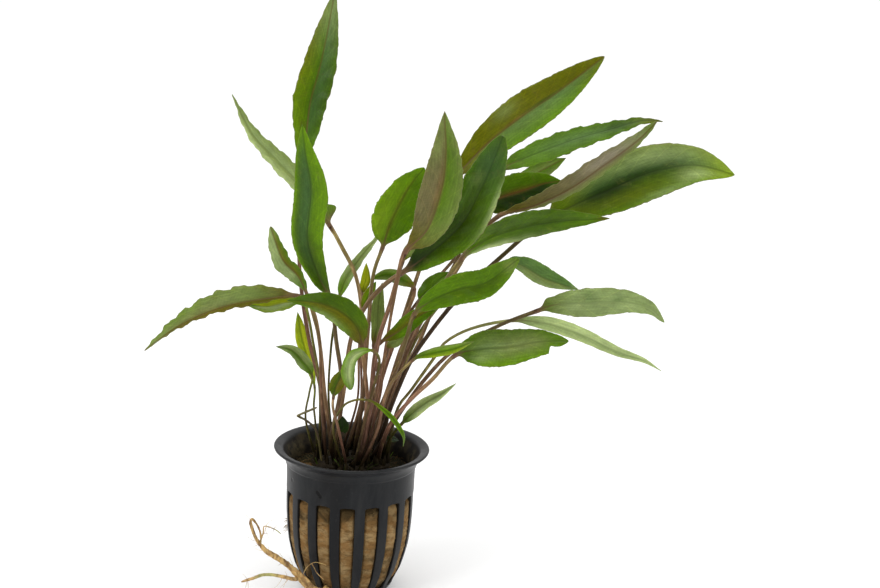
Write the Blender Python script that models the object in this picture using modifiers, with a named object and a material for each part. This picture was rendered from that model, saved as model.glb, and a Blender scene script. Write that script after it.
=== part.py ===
"""Potted cryptocoryne: a slotted net pot, its rock wool plug, the plants' crowns, leaves and loose roots."""
import math
from collections import namedtuple

import bmesh
import bpy
from mathutils import Quaternion, Vector

MM = 0.001
GAP = 0.3                    # clearance that touching pieces keep, in millimetres like every size below

# Pot
POT_STEPS = 32
MERGE_DISTANCE = 0.05
POT_OUTSIDE = ((14.5, 0.0), (15.9, 2.0), (18.9, 8.8), (21.1, 17.3), (22.1, 28.0), (22.2, 38.5),
               (22.5, 45.4), (24.0, 48.0), (26.4, 50.0), (27.0, 51.0))     # radius, height
POT_INSIDE = ((23.9, 51.0), (22.6, 48.2), (21.3, 45.0), (21.1, 38.5), (21.0, 28.0), (20.0, 17.3),
              (17.8, 8.8), (14.9, 2.2))
POT_FLOOR = 1.4
FLOOR_BEVEL = 1.0            # how far the flat floor stops short of the wall
SLOT_COUNT = 16
SLOT_BOTTOM = 2.7
SLOT_TOP = 35.9
SLOT_WIDTH = 13.4            # degrees around the pot
SLOT_FIRST = 0.6             # degrees from the front to the middle of the first slot
SLOT_REACH = (10.0, 25.0)    # radii that the slot's cutter spans

# Rock wool and crowns
WOOL_TOP = 43.5
WOOL_DOME = 0.4
WOOL_SHOULDER = (0.8, 0.5)   # shares of the top's radius and of the dome's height
CROWN_HEIGHT = 1.7
CROWN_RADIUS = 5.2
CROWN_TAPER = 0.85
CROWN_STEPS = 16
CROWNS = {"crown_left": (-8.5, -0.5), "crown_front": (1.0, -7.0), "crown_right": (8.0, 1.5),
          "crown_back": (-0.5, 8.0)}
STALK_FOOT = WOOL_TOP + WOOL_DOME + GAP + CROWN_HEIGHT + GAP

# Leaf section, a flat hexagon: half its thickness, and how far out the points of its faces sit
BLADE_THICKNESS = 0.24
BLADE_INNER = 0.35
STALK_THICKNESS = 0.87       # share of the stalk's radius
STALK_INNER = 0.5
STALK_STEPS = 5
BLADE_STATIONS = (0.0, 0.07, 0.18, 0.34, 0.52, 0.7, 0.86, 0.96)
NECK_LENGTH = 0.12           # share of the blade over which the stalk's section flattens
MIDRIB_TAPER = 0.5           # share of its radius that the midrib loses on the way to the tip
SHAPE_BASE = 0.8             # powers that shape the blade below and above its widest place
SHAPE_TIP = 0.9
LENGTH_SAMPLES = 60
STALK_STEP = 0.01            # how far ahead and behind a curve's direction is read, in spans
BLADE_STEP = 0.02

# Colours: base colour and roughness
DARK = "leaf_dark_green"
BRIGHT = "leaf_bright_green"
OLIVE = "leaf_olive"
PALE = "leaf_pale"
BRONZE = "leaf_bronze"
COLOURS = {
    DARK: ((0.035, 0.105, 0.012), 0.35),
    BRIGHT: ((0.09, 0.22, 0.012), 0.4),
    OLIVE: ((0.12, 0.15, 0.015), 0.4),
    PALE: ((0.2, 0.27, 0.11), 0.5),
    BRONZE: ((0.13, 0.12, 0.05), 0.45),
    "stalk_brown": ((0.13, 0.07, 0.03), 0.5),
    "root_straw": ((0.45, 0.29, 0.09), 0.6),
    "crown_brown": ((0.09, 0.07, 0.025), 0.7),
    "rock_wool": ((0.3, 0.19, 0.08), 0.95),
    "pot_plastic": ((0.022, 0.023, 0.027), 0.4),
}

# Each leaf: where its stalk stands on a crown, the points its stalk and blade run through, the last of stalk
# being the neck and the last of blade the tip, its widest width and where along the blade that is, and how
# far its upper face is turned about the midrib, from facing the front, at the neck and at the tip. Fold lifts
# both halves from flat, in degrees.
Leaf = namedtuple("Leaf", "name tone root radius width belly turn fold stalk blade")
LEAVES = (
    Leaf("leaf_tall_left", OLIVE, root=(-9.8, 3.4), radius=0.85, width=12.5, belly=0.45,
         turn=(-10, -10), fold=10,
         stalk=((-11, 7, 65), (-17, 11, 87), (-21, 13, 113), (-21, 15, 145)),
         blade=((-20, 17, 158), (-19, 19, 168), (-16, 21, 181), (-12, 24, 206))),
    Leaf("leaf_front_left", DARK, root=(-5.6, -3.6), radius=0.85, width=11.5, belly=0.58,
         turn=(5, 5), fold=12,
         stalk=((-7, -7, 55), (-4, -10, 76), (-6, -12, 92), (-8, -14, 106)),
         blade=((-12, -17, 115), (-16, -22, 129), (-15, -27, 146), (-17, -31, 160), (-18, -33, 169))),
    Leaf("leaf_pale_left", PALE, root=(-2.2, 5.4), radius=0.85, width=9, belly=0.35,
         turn=(50, 55), fold=8,
         stalk=((3, 10, 68), (2, 12, 90), (-1, 15, 107), (-7, 18, 118), (-11, 20, 124)),
         blade=((-21, 23, 137), (-30, 28, 144), (-40, 33, 153), (-48, 38, 166))),
    Leaf("leaf_small_left", OLIVE, root=(-8.5, -3.5), radius=0.65, width=7.5, belly=0.45,
         turn=(-20, -20), fold=20,
         stalk=((-11, -4, 70), (-12, -4, 88), (-15, -4, 100), (-17, -4, 106)),
         blade=((-20, -4, 112), (-25, -3, 117), (-28, -2, 123), (-30, -1, 128))),
    Leaf("leaf_drooping_left", OLIVE, root=(-6.5, 1), radius=0.8, width=12, belly=0.4,
         turn=(50, 60), fold=20,
         stalk=((-10, 2, 68), (-12, 3, 84), (-15, 3, 98), (-20, 3, 103)),
         blade=((-28, 4, 102), (-40, 6, 99), (-52, 8, 94), (-64, 10, 87), (-74, 10, 79))),
    Leaf("leaf_bright_left", BRIGHT, root=(-11.2, 2), radius=0.6, width=6, belly=0.4,
         turn=(40, 50), fold=8,
         stalk=((-12, 4, 70), (-15, 5, 87), (-17, 6, 96), (-19, 7, 100)),
         blade=((-25, 8, 99), (-31, 9, 97), (-38, 10, 97))),
    Leaf("leaf_arching_front", BRIGHT, root=(2.2, -5.9), radius=0.85, width=10, belly=0.4,
         turn=(20, 40), fold=10,
         stalk=((4, -7, 56), (5, -9, 71), (4, -14, 83), (3, -18, 92)),
         blade=((1, -22, 100), (-4, -26, 106), (-11, -31, 110), (-21, -37, 112))),
    Leaf("leaf_yellow_left", BRIGHT, root=(-11.6, -0.2), radius=0.45, width=4.8, belly=0.6,
         turn=(0, 0), fold=8,
         stalk=((-13, 2, 58), (-14, 6, 63), (-14, 8, 69)),
         blade=((-16, 11, 76), (-19, 12, 85), (-21, 12, 95))),
    Leaf("leaf_dark_small_left", DARK, root=(-12, -2.4), radius=0.45, width=5, belly=0.35,
         turn=(30, 40), fold=12,
         stalk=((-16, -4, 61), (-15, -6, 71), (-14, -8, 78)),
         blade=((-17, -9, 83), (-21, -12, 88), (-26, -15, 90))),
    Leaf("leaf_thin_upright", BRIGHT, root=(-6, 3.3), radius=0.5, width=4.4, belly=0.25,
         turn=(-10, -85), fold=8,
         stalk=((-9, 8, 65), (-9, 12, 82), (-8, 14, 92), (-7, 15, 99)),
         blade=((-5, 17, 106), (-1, 20, 112), (5, 24, 119), (11, 28, 127))),
    Leaf("leaf_yellow_centre", BRIGHT, root=(-1, 10.4), radius=0.5, width=3.4, belly=0.4,
         turn=(0, 0), fold=8,
         stalk=((2, 15, 63), (1, 16, 85), (1, 17, 101)),
         blade=((2, 18, 106), (2, 19, 112))),
    Leaf("leaf_centre_upright", BRIGHT, root=(2.6, 5.2), radius=0.7, width=5, belly=0.5,
         turn=(-10, -10), fold=8,
         stalk=((6, 7, 58), (8, 8, 73), (6, 8, 85)),
         blade=((7, 9, 92), (7, 10, 100), (8, 12, 107))),
    Leaf("leaf_centre_small", BRIGHT, root=(-3.8, 8), radius=0.5, width=3.6, belly=0.5,
         turn=(-10, -10), fold=8,
         stalk=((1, 8, 65), (1, 6, 84), (2, 6, 98)),
         blade=((3, 7, 102), (6, 9, 108))),
    Leaf("leaf_grey_centre", PALE, root=(1, 8.5), radius=0.75, width=5.2, belly=0.4,
         turn=(30, 30), fold=8,
         stalk=((7, 14, 63), (13, 21, 84), (18, 26, 96), (19, 28, 101)),
         blade=((14, 30, 104), (9, 31, 105), (3, 31, 103))),
    Leaf("leaf_shade_centre", DARK, root=(7.6, 5.4), radius=0.7, width=7, belly=0.4,
         turn=(-30, -30), fold=8,
         stalk=((12, 12, 64), (18, 13, 87), (21, 14, 100)),
         blade=((25, 15, 105), (28, 17, 108), (32, 19, 110))),
    Leaf("leaf_pale_centre", PALE, root=(5.6, 1.4), radius=0.65, width=5, belly=0.5,
         turn=(-10, -10), fold=8,
         stalk=((9, 4, 74), (12, 3, 100), (15, 2, 117)),
         blade=((19, 1, 123), (25, -1, 128))),
    Leaf("leaf_bright_centre", BRIGHT, root=(0.6, 6.2), radius=0.8, width=15.5, belly=0.4,
         turn=(15, 15), fold=6,
         stalk=((3, 6, 66), (4, 5, 92), (5, 3, 111), (8, 1, 122)),
         blade=((10, 0, 130), (13, -1, 137), (17, -2, 145), (21, -3, 151))),
    Leaf("leaf_brown_front", BRONZE, root=(0.2, -7.6), radius=0.95, width=13.8, belly=0.45,
         turn=(-5, -5), fold=10,
         stalk=((4, -10, 53), (6, -11, 70), (8, -15, 92), (12, -18, 108), (14, -20, 117), (16, -22, 126)),
         blade=((23, -26, 135), (27, -32, 149), (28, -38, 162), (27, -43, 177))),
    Leaf("leaf_dark_broad", DARK, root=(-4.6, -1), radius=0.95, width=15, belly=0.5,
         turn=(-15, -15), fold=8,
         stalk=((-5, -4, 54), (-3, -6, 75), (-1, -8, 93), (4, -10, 105), (10, -13, 113), (15, -14, 117)),
         blade=((23, -17, 124), (34, -21, 136), (41, -26, 152), (46, -31, 168))),
    Leaf("leaf_bright_right", BRIGHT, root=(4.6, -6.6), radius=0.85, width=10.5, belly=0.5,
         turn=(-20, -20), fold=10,
         stalk=((8, -8, 58), (11, -10, 71), (15, -14, 85), (18, -18, 97), (20, -21, 105)),
         blade=((26, -24, 111), (34, -28, 116), (43, -33, 120), (53, -39, 130))),
    Leaf("leaf_olive_centre", OLIVE, root=(3.2, -3.6), radius=0.7, width=6, belly=0.5,
         turn=(-20, -20), fold=10,
         stalk=((5, -4, 58), (6, -6, 73), (7, -9, 87), (9, -11, 92)),
         blade=((15, -14, 97), (21, -17, 103), (29, -21, 109))),
    Leaf("leaf_small_grey", PALE, root=(4.2, -0.8), radius=0.45, width=3.8, belly=0.5,
         turn=(0, 0), fold=8,
         stalk=((9, -2, 69), (10, -4, 80), (11, -5, 88)),
         blade=((14, -5, 91), (17, -5, 94))),
    Leaf("leaf_dark_right", DARK, root=(8.8, -2.4), radius=0.85, width=12.5, belly=0.35,
         turn=(-15, -15), fold=6,
         stalk=((13, -9, 62), (20, -13, 73), (27, -18, 82), (34, -23, 92)),
         blade=((42, -28, 96), (52, -34, 99), (61, -40, 103), (70, -45, 105))),
    Leaf("leaf_narrow_right", BRIGHT, root=(3.4, -9.6), radius=0.6, width=3.6, belly=0.5,
         turn=(-30, -30), fold=8,
         stalk=((9, -12, 61), (12, -16, 77), (20, -21, 89)),
         blade=((26, -25, 93), (33, -29, 96), (40, -33, 100))),
    Leaf("leaf_low_right", BRIGHT, root=(11.2, -1.6), radius=0.6, width=5.4, belly=0.3,
         turn=(-30, -30), fold=10,
         stalk=((13, -4, 55), (17, -7, 62)),
         blade=((20, -9, 66), (25, -11, 71), (30, -13, 75), (35, -15, 80))),
    Leaf("leaf_hanging_narrow", BRIGHT, root=(-2.2, -9.2), radius=0.45, width=2.6, belly=0.5,
         turn=(-20, -20), fold=8,
         stalk=((-6, -13, 61), (-3, -16, 70), (1, -17, 73), (5, -16, 73)),
         blade=((8, -16, 72), (13, -16, 68), (16, -15, 64), (18, -14, 60), (18, -13, 56))),
    Leaf("leaf_in_pot", DARK, root=(12.2, 3.4), radius=0.45, width=3, belly=0.4,
         turn=(-60, -60), fold=8,
         stalk=((12, 8, 50),),
         blade=((13, 9, 51), (16, 11, 50))),
    Leaf("leaf_tiny_front", DARK, root=(-2.8, -6.2), radius=0.4, width=4.6, belly=0.4,
         turn=(0, 0), fold=8,
         stalk=((-5, -8, 50), (-4, -10, 59)),
         blade=((-3, -10, 61), (-3, -10, 65))),
    Leaf("leaf_folded_pale", PALE, root=(1.2, -10.6), radius=0.6, width=5, belly=0.6,
         turn=(60, 0), fold=8,
         stalk=((4, -12, 61), (7, -14, 76), (9, -18, 87), (7, -22, 92)),
         blade=((3, -24, 92), (0, -26, 90), (-1, -26, 85), (0, -25, 79))),
    Leaf("leaf_dark_front", DARK, root=(-0.8, -10.8), radius=0.55, width=5, belly=0.45,
         turn=(0, 0), fold=8,
         stalk=((-4, -16, 62), (-6, -18, 70), (-6, -18, 74)),
         blade=((-5, -20, 79), (-2, -23, 86))),
    Leaf("leaf_olive_top", OLIVE, root=(-0.2, 12), radius=0.9, width=15.5, belly=0.48,
         turn=(-20, -20), fold=8,
         stalk=((6, 20, 62), (14, 29, 85), (21, 36, 108), (27, 39, 126), (31, 40, 138)),
         blade=((41, 43, 150), (54, 46, 161), (68, 51, 171), (83, 55, 183))),
    Leaf("leaf_bluegreen_right", DARK, root=(2.3, 10.7), radius=0.85, width=12, belly=0.32,
         turn=(-45, -50), fold=8,
         stalk=((10, 17, 63), (18, 19, 88), (34, 21, 111), (42, 24, 132), (46, 26, 144)),
         blade=((56, 29, 150), (69, 32, 155), (82, 35, 159), (95, 38, 163), (104, 40, 163))),
    Leaf("leaf_small_back", OLIVE, root=(-2.6, 11), radius=0.7, width=7, belly=0.5,
         turn=(-30, -30), fold=8,
         stalk=((4, 22, 61), (16, 34, 88), (35, 39, 113), (51, 42, 135)),
         blade=((58, 44, 140), (71, 47, 147))),
    Leaf("leaf_olive_right", OLIVE, root=(10.4, 4.6), radius=0.85, width=13.5, belly=0.45,
         turn=(-10, -10), fold=8,
         stalk=((12, 10, 65), (20, 11, 91), (32, 11, 113), (40, 10, 135)),
         blade=((47, 10, 139), (56, 12, 142), (62, 14, 144), (68, 15, 145))),
    Leaf("leaf_bright_long", BRIGHT, root=(10.6, 2), radius=0.85, width=11, belly=0.45,
         turn=(-45, -45), fold=12,
         stalk=((13, 4, 67), (22, 4, 89), (28, 2, 107), (35, -2, 120)),
         blade=((44, -4, 128), (55, -7, 133), (67, -10, 136), (83, -14, 139))),
    Leaf("leaf_broad_glossy", DARK, root=(8.6, 0.2), radius=0.95, width=19, belly=0.5,
         turn=(-20, -20), fold=6,
         stalk=((11, -1, 59), (18, 0, 80), (25, 2, 92), (36, 3, 107), (50, 6, 121), (62, 8, 132)),
         blade=((73, 10, 138), (85, 11, 144), (98, 12, 150), (113, 13, 153), (127, 14, 150))),
    Leaf("leaf_mauve_underside", BRONZE, root=(8.2, 2.9), radius=0.85, width=12.5, belly=0.5,
         turn=(-135, -135), fold=5,
         stalk=((12, 7, 66), (21, 8, 92), (33, 7, 115), (41, 6, 127), (47, 5, 134)),
         blade=((58, 2, 139), (70, -1, 146), (80, -4, 154), (90, -6, 163), (97, -7, 171))),
    Leaf("leaf_green_back_right", BRIGHT, root=(3.3, 8.3), radius=0.75, width=8.4, belly=0.45,
         turn=(-20, -20), fold=6,
         stalk=((12, 15, 64), (22, 16, 89), (35, 18, 106), (50, 20, 114)),
         blade=((56, 22, 113), (65, 24, 108), (77, 26, 104))),
    Leaf("leaf_grey_arched", PALE, root=(6.3, -1.6), radius=0.8, width=10, belly=0.4,
         turn=(-30, -30), fold=8,
         stalk=((15, -5, 63), (24, -7, 78), (34, -9, 90), (49, -11, 100), (61, -13, 106)),
         blade=((67, -15, 109), (78, -19, 111), (89, -23, 113), (97, -26, 112), (102, -28, 108))),
    Leaf("leaf_pale_drooping", PALE, root=(12.2, 0.6), radius=0.65, width=5.4, belly=0.3,
         turn=(-30, -30), fold=4,
         stalk=((15, 1, 64), (20, 2, 72), (27, 3, 83), (31, 4, 89), (40, 5, 94), (53, 6, 97)),
         blade=((65, 8, 96), (78, 10, 92), (91, 12, 86), (100, 13, 83), (107, 14, 79))),
)

# Thin broken stalk with two kinks, and the roots: radius and points of each
STRAND_RESOLUTION = 1
KINKED_STALK = (0.4, ((-10, -4, STALK_FOOT), (-12, -5, 57), (-15, -6, 61), (-18, -7, 63), (-18, -8, 64),
                      (-12, -8, 67)))
ROOTS = {
    "root_trunk": ((1.2, (-5.9, -14.7, 4.4)), (1.3, (-7.2, -17.3, 3.4)), (1.5, (-10.5, -18.0, 4.0)),
                   (1.5, (-13.5, -18.0, 6.8)), (1.3, (-16.3, -18.2, 9.8)), (1.2, (-18.6, -18.8, 12.3))),
    "root_upper": ((1.1, (-20.2, -19.2, 13.9)), (1.2, (-23.7, -20.0, 16.5)), (1.0, (-27.2, -20.0, 18.6)),
                   (0.9, (-29.3, -20.0, 21.0))),
    "root_loop": ((0.7, (-30.5, -20.0, 22.6)), (0.7, (-31.6, -20.0, 25.0)), (0.6, (-32.7, -20.0, 28.5)),
                  (0.5, (-32.2, -20.0, 30.0)), (0.45, (-30.9, -20.0, 28.6)), (0.4, (-29.8, -20.0, 26.6))),
    "root_curl": ((0.5, (-29.0, -20.0, 22.9)), (0.45, (-28.3, -19.7, 25.0)), (0.3, (-28.2, -19.0, 27.1)),
                  (0.3, (-26.2, -18.0, 26.4)), (0.3, (-24.2, -17.0, 25.2)), (0.3, (-22.5, -16.0, 23.4))),
    "root_lower": ((0.9, (-17.4, -20.2, 8.8)), (0.9, (-20.9, -20.5, 9.6)), (0.7, (-25.0, -20.6, 10.2)),
                   (0.7, (-28.3, -21.0, 10.1)), (0.7, (-31.0, -21.0, 8.9)), (0.6, (-33.4, -21.0, 8.0)),
                   (0.5, (-35.4, -21.0, 7.2))),
}


def clear_scene():
    """Remove the objects that the file opened with."""
    for old in list(bpy.data.objects):
        bpy.data.objects.remove(old, do_unlink=True)


def new_collection(name):
    """Make a collection under the scene's own."""
    collection = bpy.data.collections.new(name)
    bpy.context.scene.collection.children.link(collection)
    return collection


def add_object(name, data, collection, material=None):
    """Put mesh or curve data into the scene as a named object, with its material."""
    thing = bpy.data.objects.new(name, data)
    collection.objects.link(thing)
    if material:
        data.materials.append(material)
    return thing


def make_material(name):
    """Principled material in the colour and roughness that the table gives."""
    colour, roughness = COLOURS[name]
    material = bpy.data.materials.new(name)
    material.use_nodes = True
    shader = material.node_tree.nodes["Principled BSDF"]
    shader.inputs["Base Color"].default_value = (*colour, 1.0)
    shader.inputs["Roughness"].default_value = roughness
    shader.inputs["Metallic"].default_value = 0.0
    material.diffuse_color = (*colour, 1.0)
    return material


def profile_mesh(name, profile):
    """Open outline of (radius, height) points, in the XZ plane, for a Screw modifier to turn."""
    mesh = bpy.data.meshes.new(name)
    points = [(radius * MM, 0.0, height * MM) for radius, height in profile]
    edges = [(i, i + 1) for i in range(len(points) - 1)]
    mesh.from_pydata(points, edges, [])
    return mesh


def turn_profile(thing, steps):
    """Turn an object's outline once about Z into a closed body."""
    screw = thing.modifiers.new("Turn", "SCREW")
    screw.steps = steps
    screw.render_steps = steps
    screw.use_merge_vertices = True
    screw.merge_threshold = MERGE_DISTANCE * MM
    screw.use_smooth_shade = False


def slot_cutter(collection):
    """Upright wedges, one for each slot in the pot's wall."""
    inner, outer = SLOT_REACH
    middle = (inner + outer) / 2
    bm = bmesh.new()
    for number in range(SLOT_COUNT):
        verts = bmesh.ops.create_cube(bm, size=1.0)["verts"]
        bmesh.ops.scale(bm, verts=verts, vec=(1.0, (outer - inner) * MM, (SLOT_TOP - SLOT_BOTTOM) * MM))
        for vert in verts:
            radius = middle * MM - vert.co.y
            half = radius * math.tan(math.radians(SLOT_WIDTH / 2))
            vert.co.x = math.copysign(half, vert.co.x)
            vert.co.y = -radius
            vert.co.z += (SLOT_TOP + SLOT_BOTTOM) / 2 * MM
        angle = math.radians(SLOT_FIRST + number * 360.0 / SLOT_COUNT)
        spin = Quaternion((0.0, 0.0, 1.0), angle).to_matrix()
        bmesh.ops.rotate(bm, cent=(0.0, 0.0, 0.0), matrix=spin, verts=verts)
    bmesh.ops.recalc_face_normals(bm, faces=bm.faces)
    mesh = bpy.data.meshes.new("slot_cutter")
    bm.to_mesh(mesh)
    bm.free()
    cutter = add_object("slot_cutter", mesh, collection)
    cutter.hide_render = True
    cutter.display_type = "WIRE"
    return cutter


def make_pot(collection, cutters, material):
    """Net pot: a turned wall, floor and lip, with its slots cut through the wall."""
    profile = [(0.0, POT_FLOOR)]
    profile += [(POT_INSIDE[-1][0] - FLOOR_BEVEL, POT_FLOOR)]
    profile += reversed(POT_INSIDE)
    profile += reversed(POT_OUTSIDE)
    profile += [(0.0, 0.0)]
    pot = add_object("pot", profile_mesh("pot", profile), collection, material)
    turn_profile(pot, POT_STEPS)
    slots = pot.modifiers.new("Slots", "BOOLEAN")
    slots.operation = "DIFFERENCE"
    slots.solver = "EXACT"
    slots.object = slot_cutter(cutters)
    return pot


def make_wool(collection, material):
    """Rock wool plug: follows the inside of the pot's wall, with a slightly domed top."""
    wall = [(radius - GAP, height) for radius, height in POT_INSIDE if height < WOOL_TOP]
    top_radius = wall[0][0]
    shoulder, rise = WOOL_SHOULDER
    profile = [(0.0, WOOL_TOP + WOOL_DOME)]
    profile += [(top_radius * shoulder, WOOL_TOP + WOOL_DOME * rise)]
    profile += [(top_radius, WOOL_TOP)]
    profile += wall
    profile += [(wall[-1][0] - FLOOR_BEVEL, POT_FLOOR + GAP), (0.0, POT_FLOOR + GAP)]
    wool = add_object("rock_wool", profile_mesh("rock_wool", profile), collection, material)
    turn_profile(wool, POT_STEPS)
    return wool


def make_crown(name, place, collection, material):
    """Crown: a low round knob on the rock wool, which the stalks stand on."""
    bm = bmesh.new()
    bmesh.ops.create_cone(bm, cap_ends=True, segments=CROWN_STEPS, radius1=CROWN_RADIUS * CROWN_TAPER * MM,
                          radius2=CROWN_RADIUS * MM, depth=CROWN_HEIGHT * MM)
    mesh = bpy.data.meshes.new(name)
    bm.to_mesh(mesh)
    bm.free()
    crown = add_object(name, mesh, collection, material)
    foot = WOOL_TOP + WOOL_DOME + GAP
    crown.location = (place[0] * MM, place[1] * MM, (foot + CROWN_HEIGHT / 2) * MM)
    return crown


def spline_point(points, position):
    """Point of a smooth curve through all the given points, at a position counted in spans."""
    span = min(int(position), len(points) - 2)
    t = position - span
    first, second = points[span], points[span + 1]
    before = points[span - 1] if span > 0 else first * 2 - second
    after = points[span + 2] if span + 2 < len(points) else second * 2 - first
    return 0.5 * (2 * first + (second - before) * t + (2 * before - 5 * first + 4 * second - after) * t * t
                  + (3 * first - before - 3 * second + after) * t ** 3)


def lengthwise(points, start, end, fractions):
    """Positions between two spans' ends that lie at the given fractions of the length between them."""
    positions = [start + (end - start) * i / LENGTH_SAMPLES for i in range(LENGTH_SAMPLES + 1)]
    lengths = [0.0]
    for a, b in zip(positions, positions[1:]):
        lengths.append(lengths[-1] + (spline_point(points, b) - spline_point(points, a)).length)
    found = []
    for fraction in fractions:
        wanted = fraction * lengths[-1]
        i = max(k for k in range(LENGTH_SAMPLES) if lengths[k] <= wanted or k == 0)
        part = (wanted - lengths[i]) / (lengths[i + 1] - lengths[i])
        found.append(positions[i] + (positions[i + 1] - positions[i]) * part)
    return found


def blade_shape(t, belly):
    """Blade's width at t along it, as a share of the widest, which it reaches at belly."""
    if t < belly:
        return math.sin(math.pi / 2 * t / belly) ** SHAPE_BASE
    return math.cos(math.pi / 2 * (t - belly) / (1.0 - belly)) ** SHAPE_TIP


def face_direction(along, turn):
    """Direction the upper face looks in: to the front, square to the midrib, then turned about it."""
    front = Vector((0.0, -1.0, 0.0))
    facing = (front - along * front.dot(along)).normalized()
    return Quaternion(along, math.radians(turn)) @ facing


def leaf_section(centre, along, turn, half_width, half_thickness, inner, fold):
    """Six points of a leaf's section, from its left edge over the upper face and back beneath."""
    facing = face_direction(along, turn)
    across = facing.cross(along)
    rise = math.sin(math.radians(fold))
    spread = math.cos(math.radians(fold))
    ring = []
    corners = ((-1, 0), (-inner, 1), (inner, 1), (1, 0), (inner, -1), (-inner, -1))
    for side, lift in corners:
        out = across * (side * half_width * spread)
        up = facing * (abs(side) * half_width * rise + lift * half_thickness)
        ring.append((centre + out + up) * MM)
    return ring


def leaf_rings(leaf):
    """All the sections of a leaf, from the foot of its stalk to just before its tip."""
    points = [Vector((*leaf.root, STALK_FOOT))]
    points += [Vector(p) for p in leaf.stalk + leaf.blade]
    neck = len(leaf.stalk)
    last = len(points) - 1
    thickness = leaf.radius * STALK_THICKNESS
    rings = []
    fractions = [i / STALK_STEPS for i in range(STALK_STEPS)]
    for position in lengthwise(points, 0, neck, fractions):
        ahead = spline_point(points, position + STALK_STEP)
        along = (ahead - spline_point(points, max(0.0, position - STALK_STEP))).normalized()
        if not rings:
            along = Vector((0.0, 0.0, 1.0))
        centre = spline_point(points, position)
        rings.append(leaf_section(centre, along, leaf.turn[0], leaf.radius, thickness, STALK_INNER, 0.0))
    for t, position in zip(BLADE_STATIONS, lengthwise(points, neck, last, BLADE_STATIONS)):
        ahead = spline_point(points, min(last, position + BLADE_STEP))
        along = (ahead - spline_point(points, position - BLADE_STEP)).normalized()
        midrib = leaf.radius * (1.0 - MIDRIB_TAPER * t)
        half_width = max(midrib, blade_shape(t, leaf.belly) * leaf.width / 2)
        flat = min(1.0, t / NECK_LENGTH)
        half_thickness = thickness + (BLADE_THICKNESS - thickness) * flat
        inner = STALK_INNER + (BLADE_INNER - STALK_INNER) * flat
        turn = leaf.turn[0] + (leaf.turn[1] - leaf.turn[0]) * t
        centre = spline_point(points, position)
        rings.append(leaf_section(centre, along, turn, half_width, half_thickness, inner, leaf.fold * flat))
    return rings, points[-1] * MM


def make_leaf(leaf, collection, material):
    """One leaf, grown as one piece: a round stalk that flattens into a blade and ends in a point."""
    rings, tip = leaf_rings(leaf)
    bm = bmesh.new()
    loops = [[bm.verts.new(point) for point in ring] for ring in rings]
    bm.faces.new(loops[0])
    for ring, following in zip(loops, loops[1:]):
        for i in range(6):
            j = (i + 1) % 6
            bm.faces.new((ring[i], ring[j], following[j], following[i]))
    point = bm.verts.new(tip)
    for i in range(6):
        bm.faces.new((loops[-1][i], loops[-1][(i + 1) % 6], point))
    bmesh.ops.recalc_face_normals(bm, faces=bm.faces)
    mesh = bpy.data.meshes.new(leaf.name)
    bm.to_mesh(mesh)
    bm.free()
    return add_object(leaf.name, mesh, collection, material)


def make_strand(name, strand, collection, material):
    """Stalk or root of round section through a list of (radius, point)."""
    curve = bpy.data.curves.new(name, "CURVE")
    curve.dimensions = "3D"
    curve.bevel_depth = MM
    curve.bevel_resolution = STRAND_RESOLUTION
    curve.use_fill_caps = True
    spline = curve.splines.new("POLY")
    spline.points.add(len(strand) - 1)
    for target, (radius, place) in zip(spline.points, strand):
        target.co = (place[0] * MM, place[1] * MM, place[2] * MM, 1.0)
        target.radius = radius
    return add_object(name, curve, collection, material)


def main():
    """Build every piece of the plant and its pot."""
    clear_scene()
    plant = new_collection("potted_cryptocoryne")
    cutters = new_collection("cutters")
    materials = {name: make_material(name) for name in COLOURS}
    make_pot(plant, cutters, materials["pot_plastic"])
    make_wool(plant, materials["rock_wool"])
    for name, place in CROWNS.items():
        make_crown(name, place, plant, materials["crown_brown"])
    for leaf in LEAVES:
        make_leaf(leaf, plant, materials[leaf.tone])
    radius, points = KINKED_STALK
    make_strand("stalk_kinked", [(radius, point) for point in points], plant, materials["stalk_brown"])
    for name, strand in ROOTS.items():
        make_strand(name, strand, plant, materials["root_straw"])


if __name__ == "__main__":
    main()
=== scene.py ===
"""Dresses the potted cryptocoryne: leaves, crowns, roots, rock wool, net pot, and the studio around it."""
import math
import random
from collections import namedtuple

import bpy
import numpy as np
from bpy.props import FloatProperty, FloatVectorProperty, IntProperty, PointerProperty
from mathutils import Matrix, Vector, noise


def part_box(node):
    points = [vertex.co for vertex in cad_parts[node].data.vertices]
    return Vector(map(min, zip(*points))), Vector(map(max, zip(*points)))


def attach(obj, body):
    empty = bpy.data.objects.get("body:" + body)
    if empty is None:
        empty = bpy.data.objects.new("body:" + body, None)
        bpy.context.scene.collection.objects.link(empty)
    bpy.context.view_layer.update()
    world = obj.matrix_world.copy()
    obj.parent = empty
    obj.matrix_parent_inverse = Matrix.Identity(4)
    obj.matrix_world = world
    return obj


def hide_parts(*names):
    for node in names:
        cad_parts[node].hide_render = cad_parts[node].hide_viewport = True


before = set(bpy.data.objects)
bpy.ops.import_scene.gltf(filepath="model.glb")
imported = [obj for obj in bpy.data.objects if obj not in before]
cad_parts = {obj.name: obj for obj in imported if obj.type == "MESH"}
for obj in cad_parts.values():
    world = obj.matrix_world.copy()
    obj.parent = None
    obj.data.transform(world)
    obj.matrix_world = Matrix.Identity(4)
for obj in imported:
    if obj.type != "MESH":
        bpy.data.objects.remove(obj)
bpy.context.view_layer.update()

bl_info = {
    "name": "Potted Cryptocoryne",
    "version": (1, 0, 0),
    "blender": (4, 5, 0),
    "location": "View3D > Sidebar > Aquarium Plant",
    "description": "Builds a potted cryptocoryne leaf by leaf, with its rock wool, roots and net pot",
    "category": "Add Mesh",
}

MM = 0.001
BODY = "root"

DARK, BRIGHT, OLIVE = "leaf_dark_green", "leaf_bright_green", "leaf_olive"
PALE, BRONZE = "leaf_pale", "leaf_bronze"
STALK_FOOT = 46.2

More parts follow.
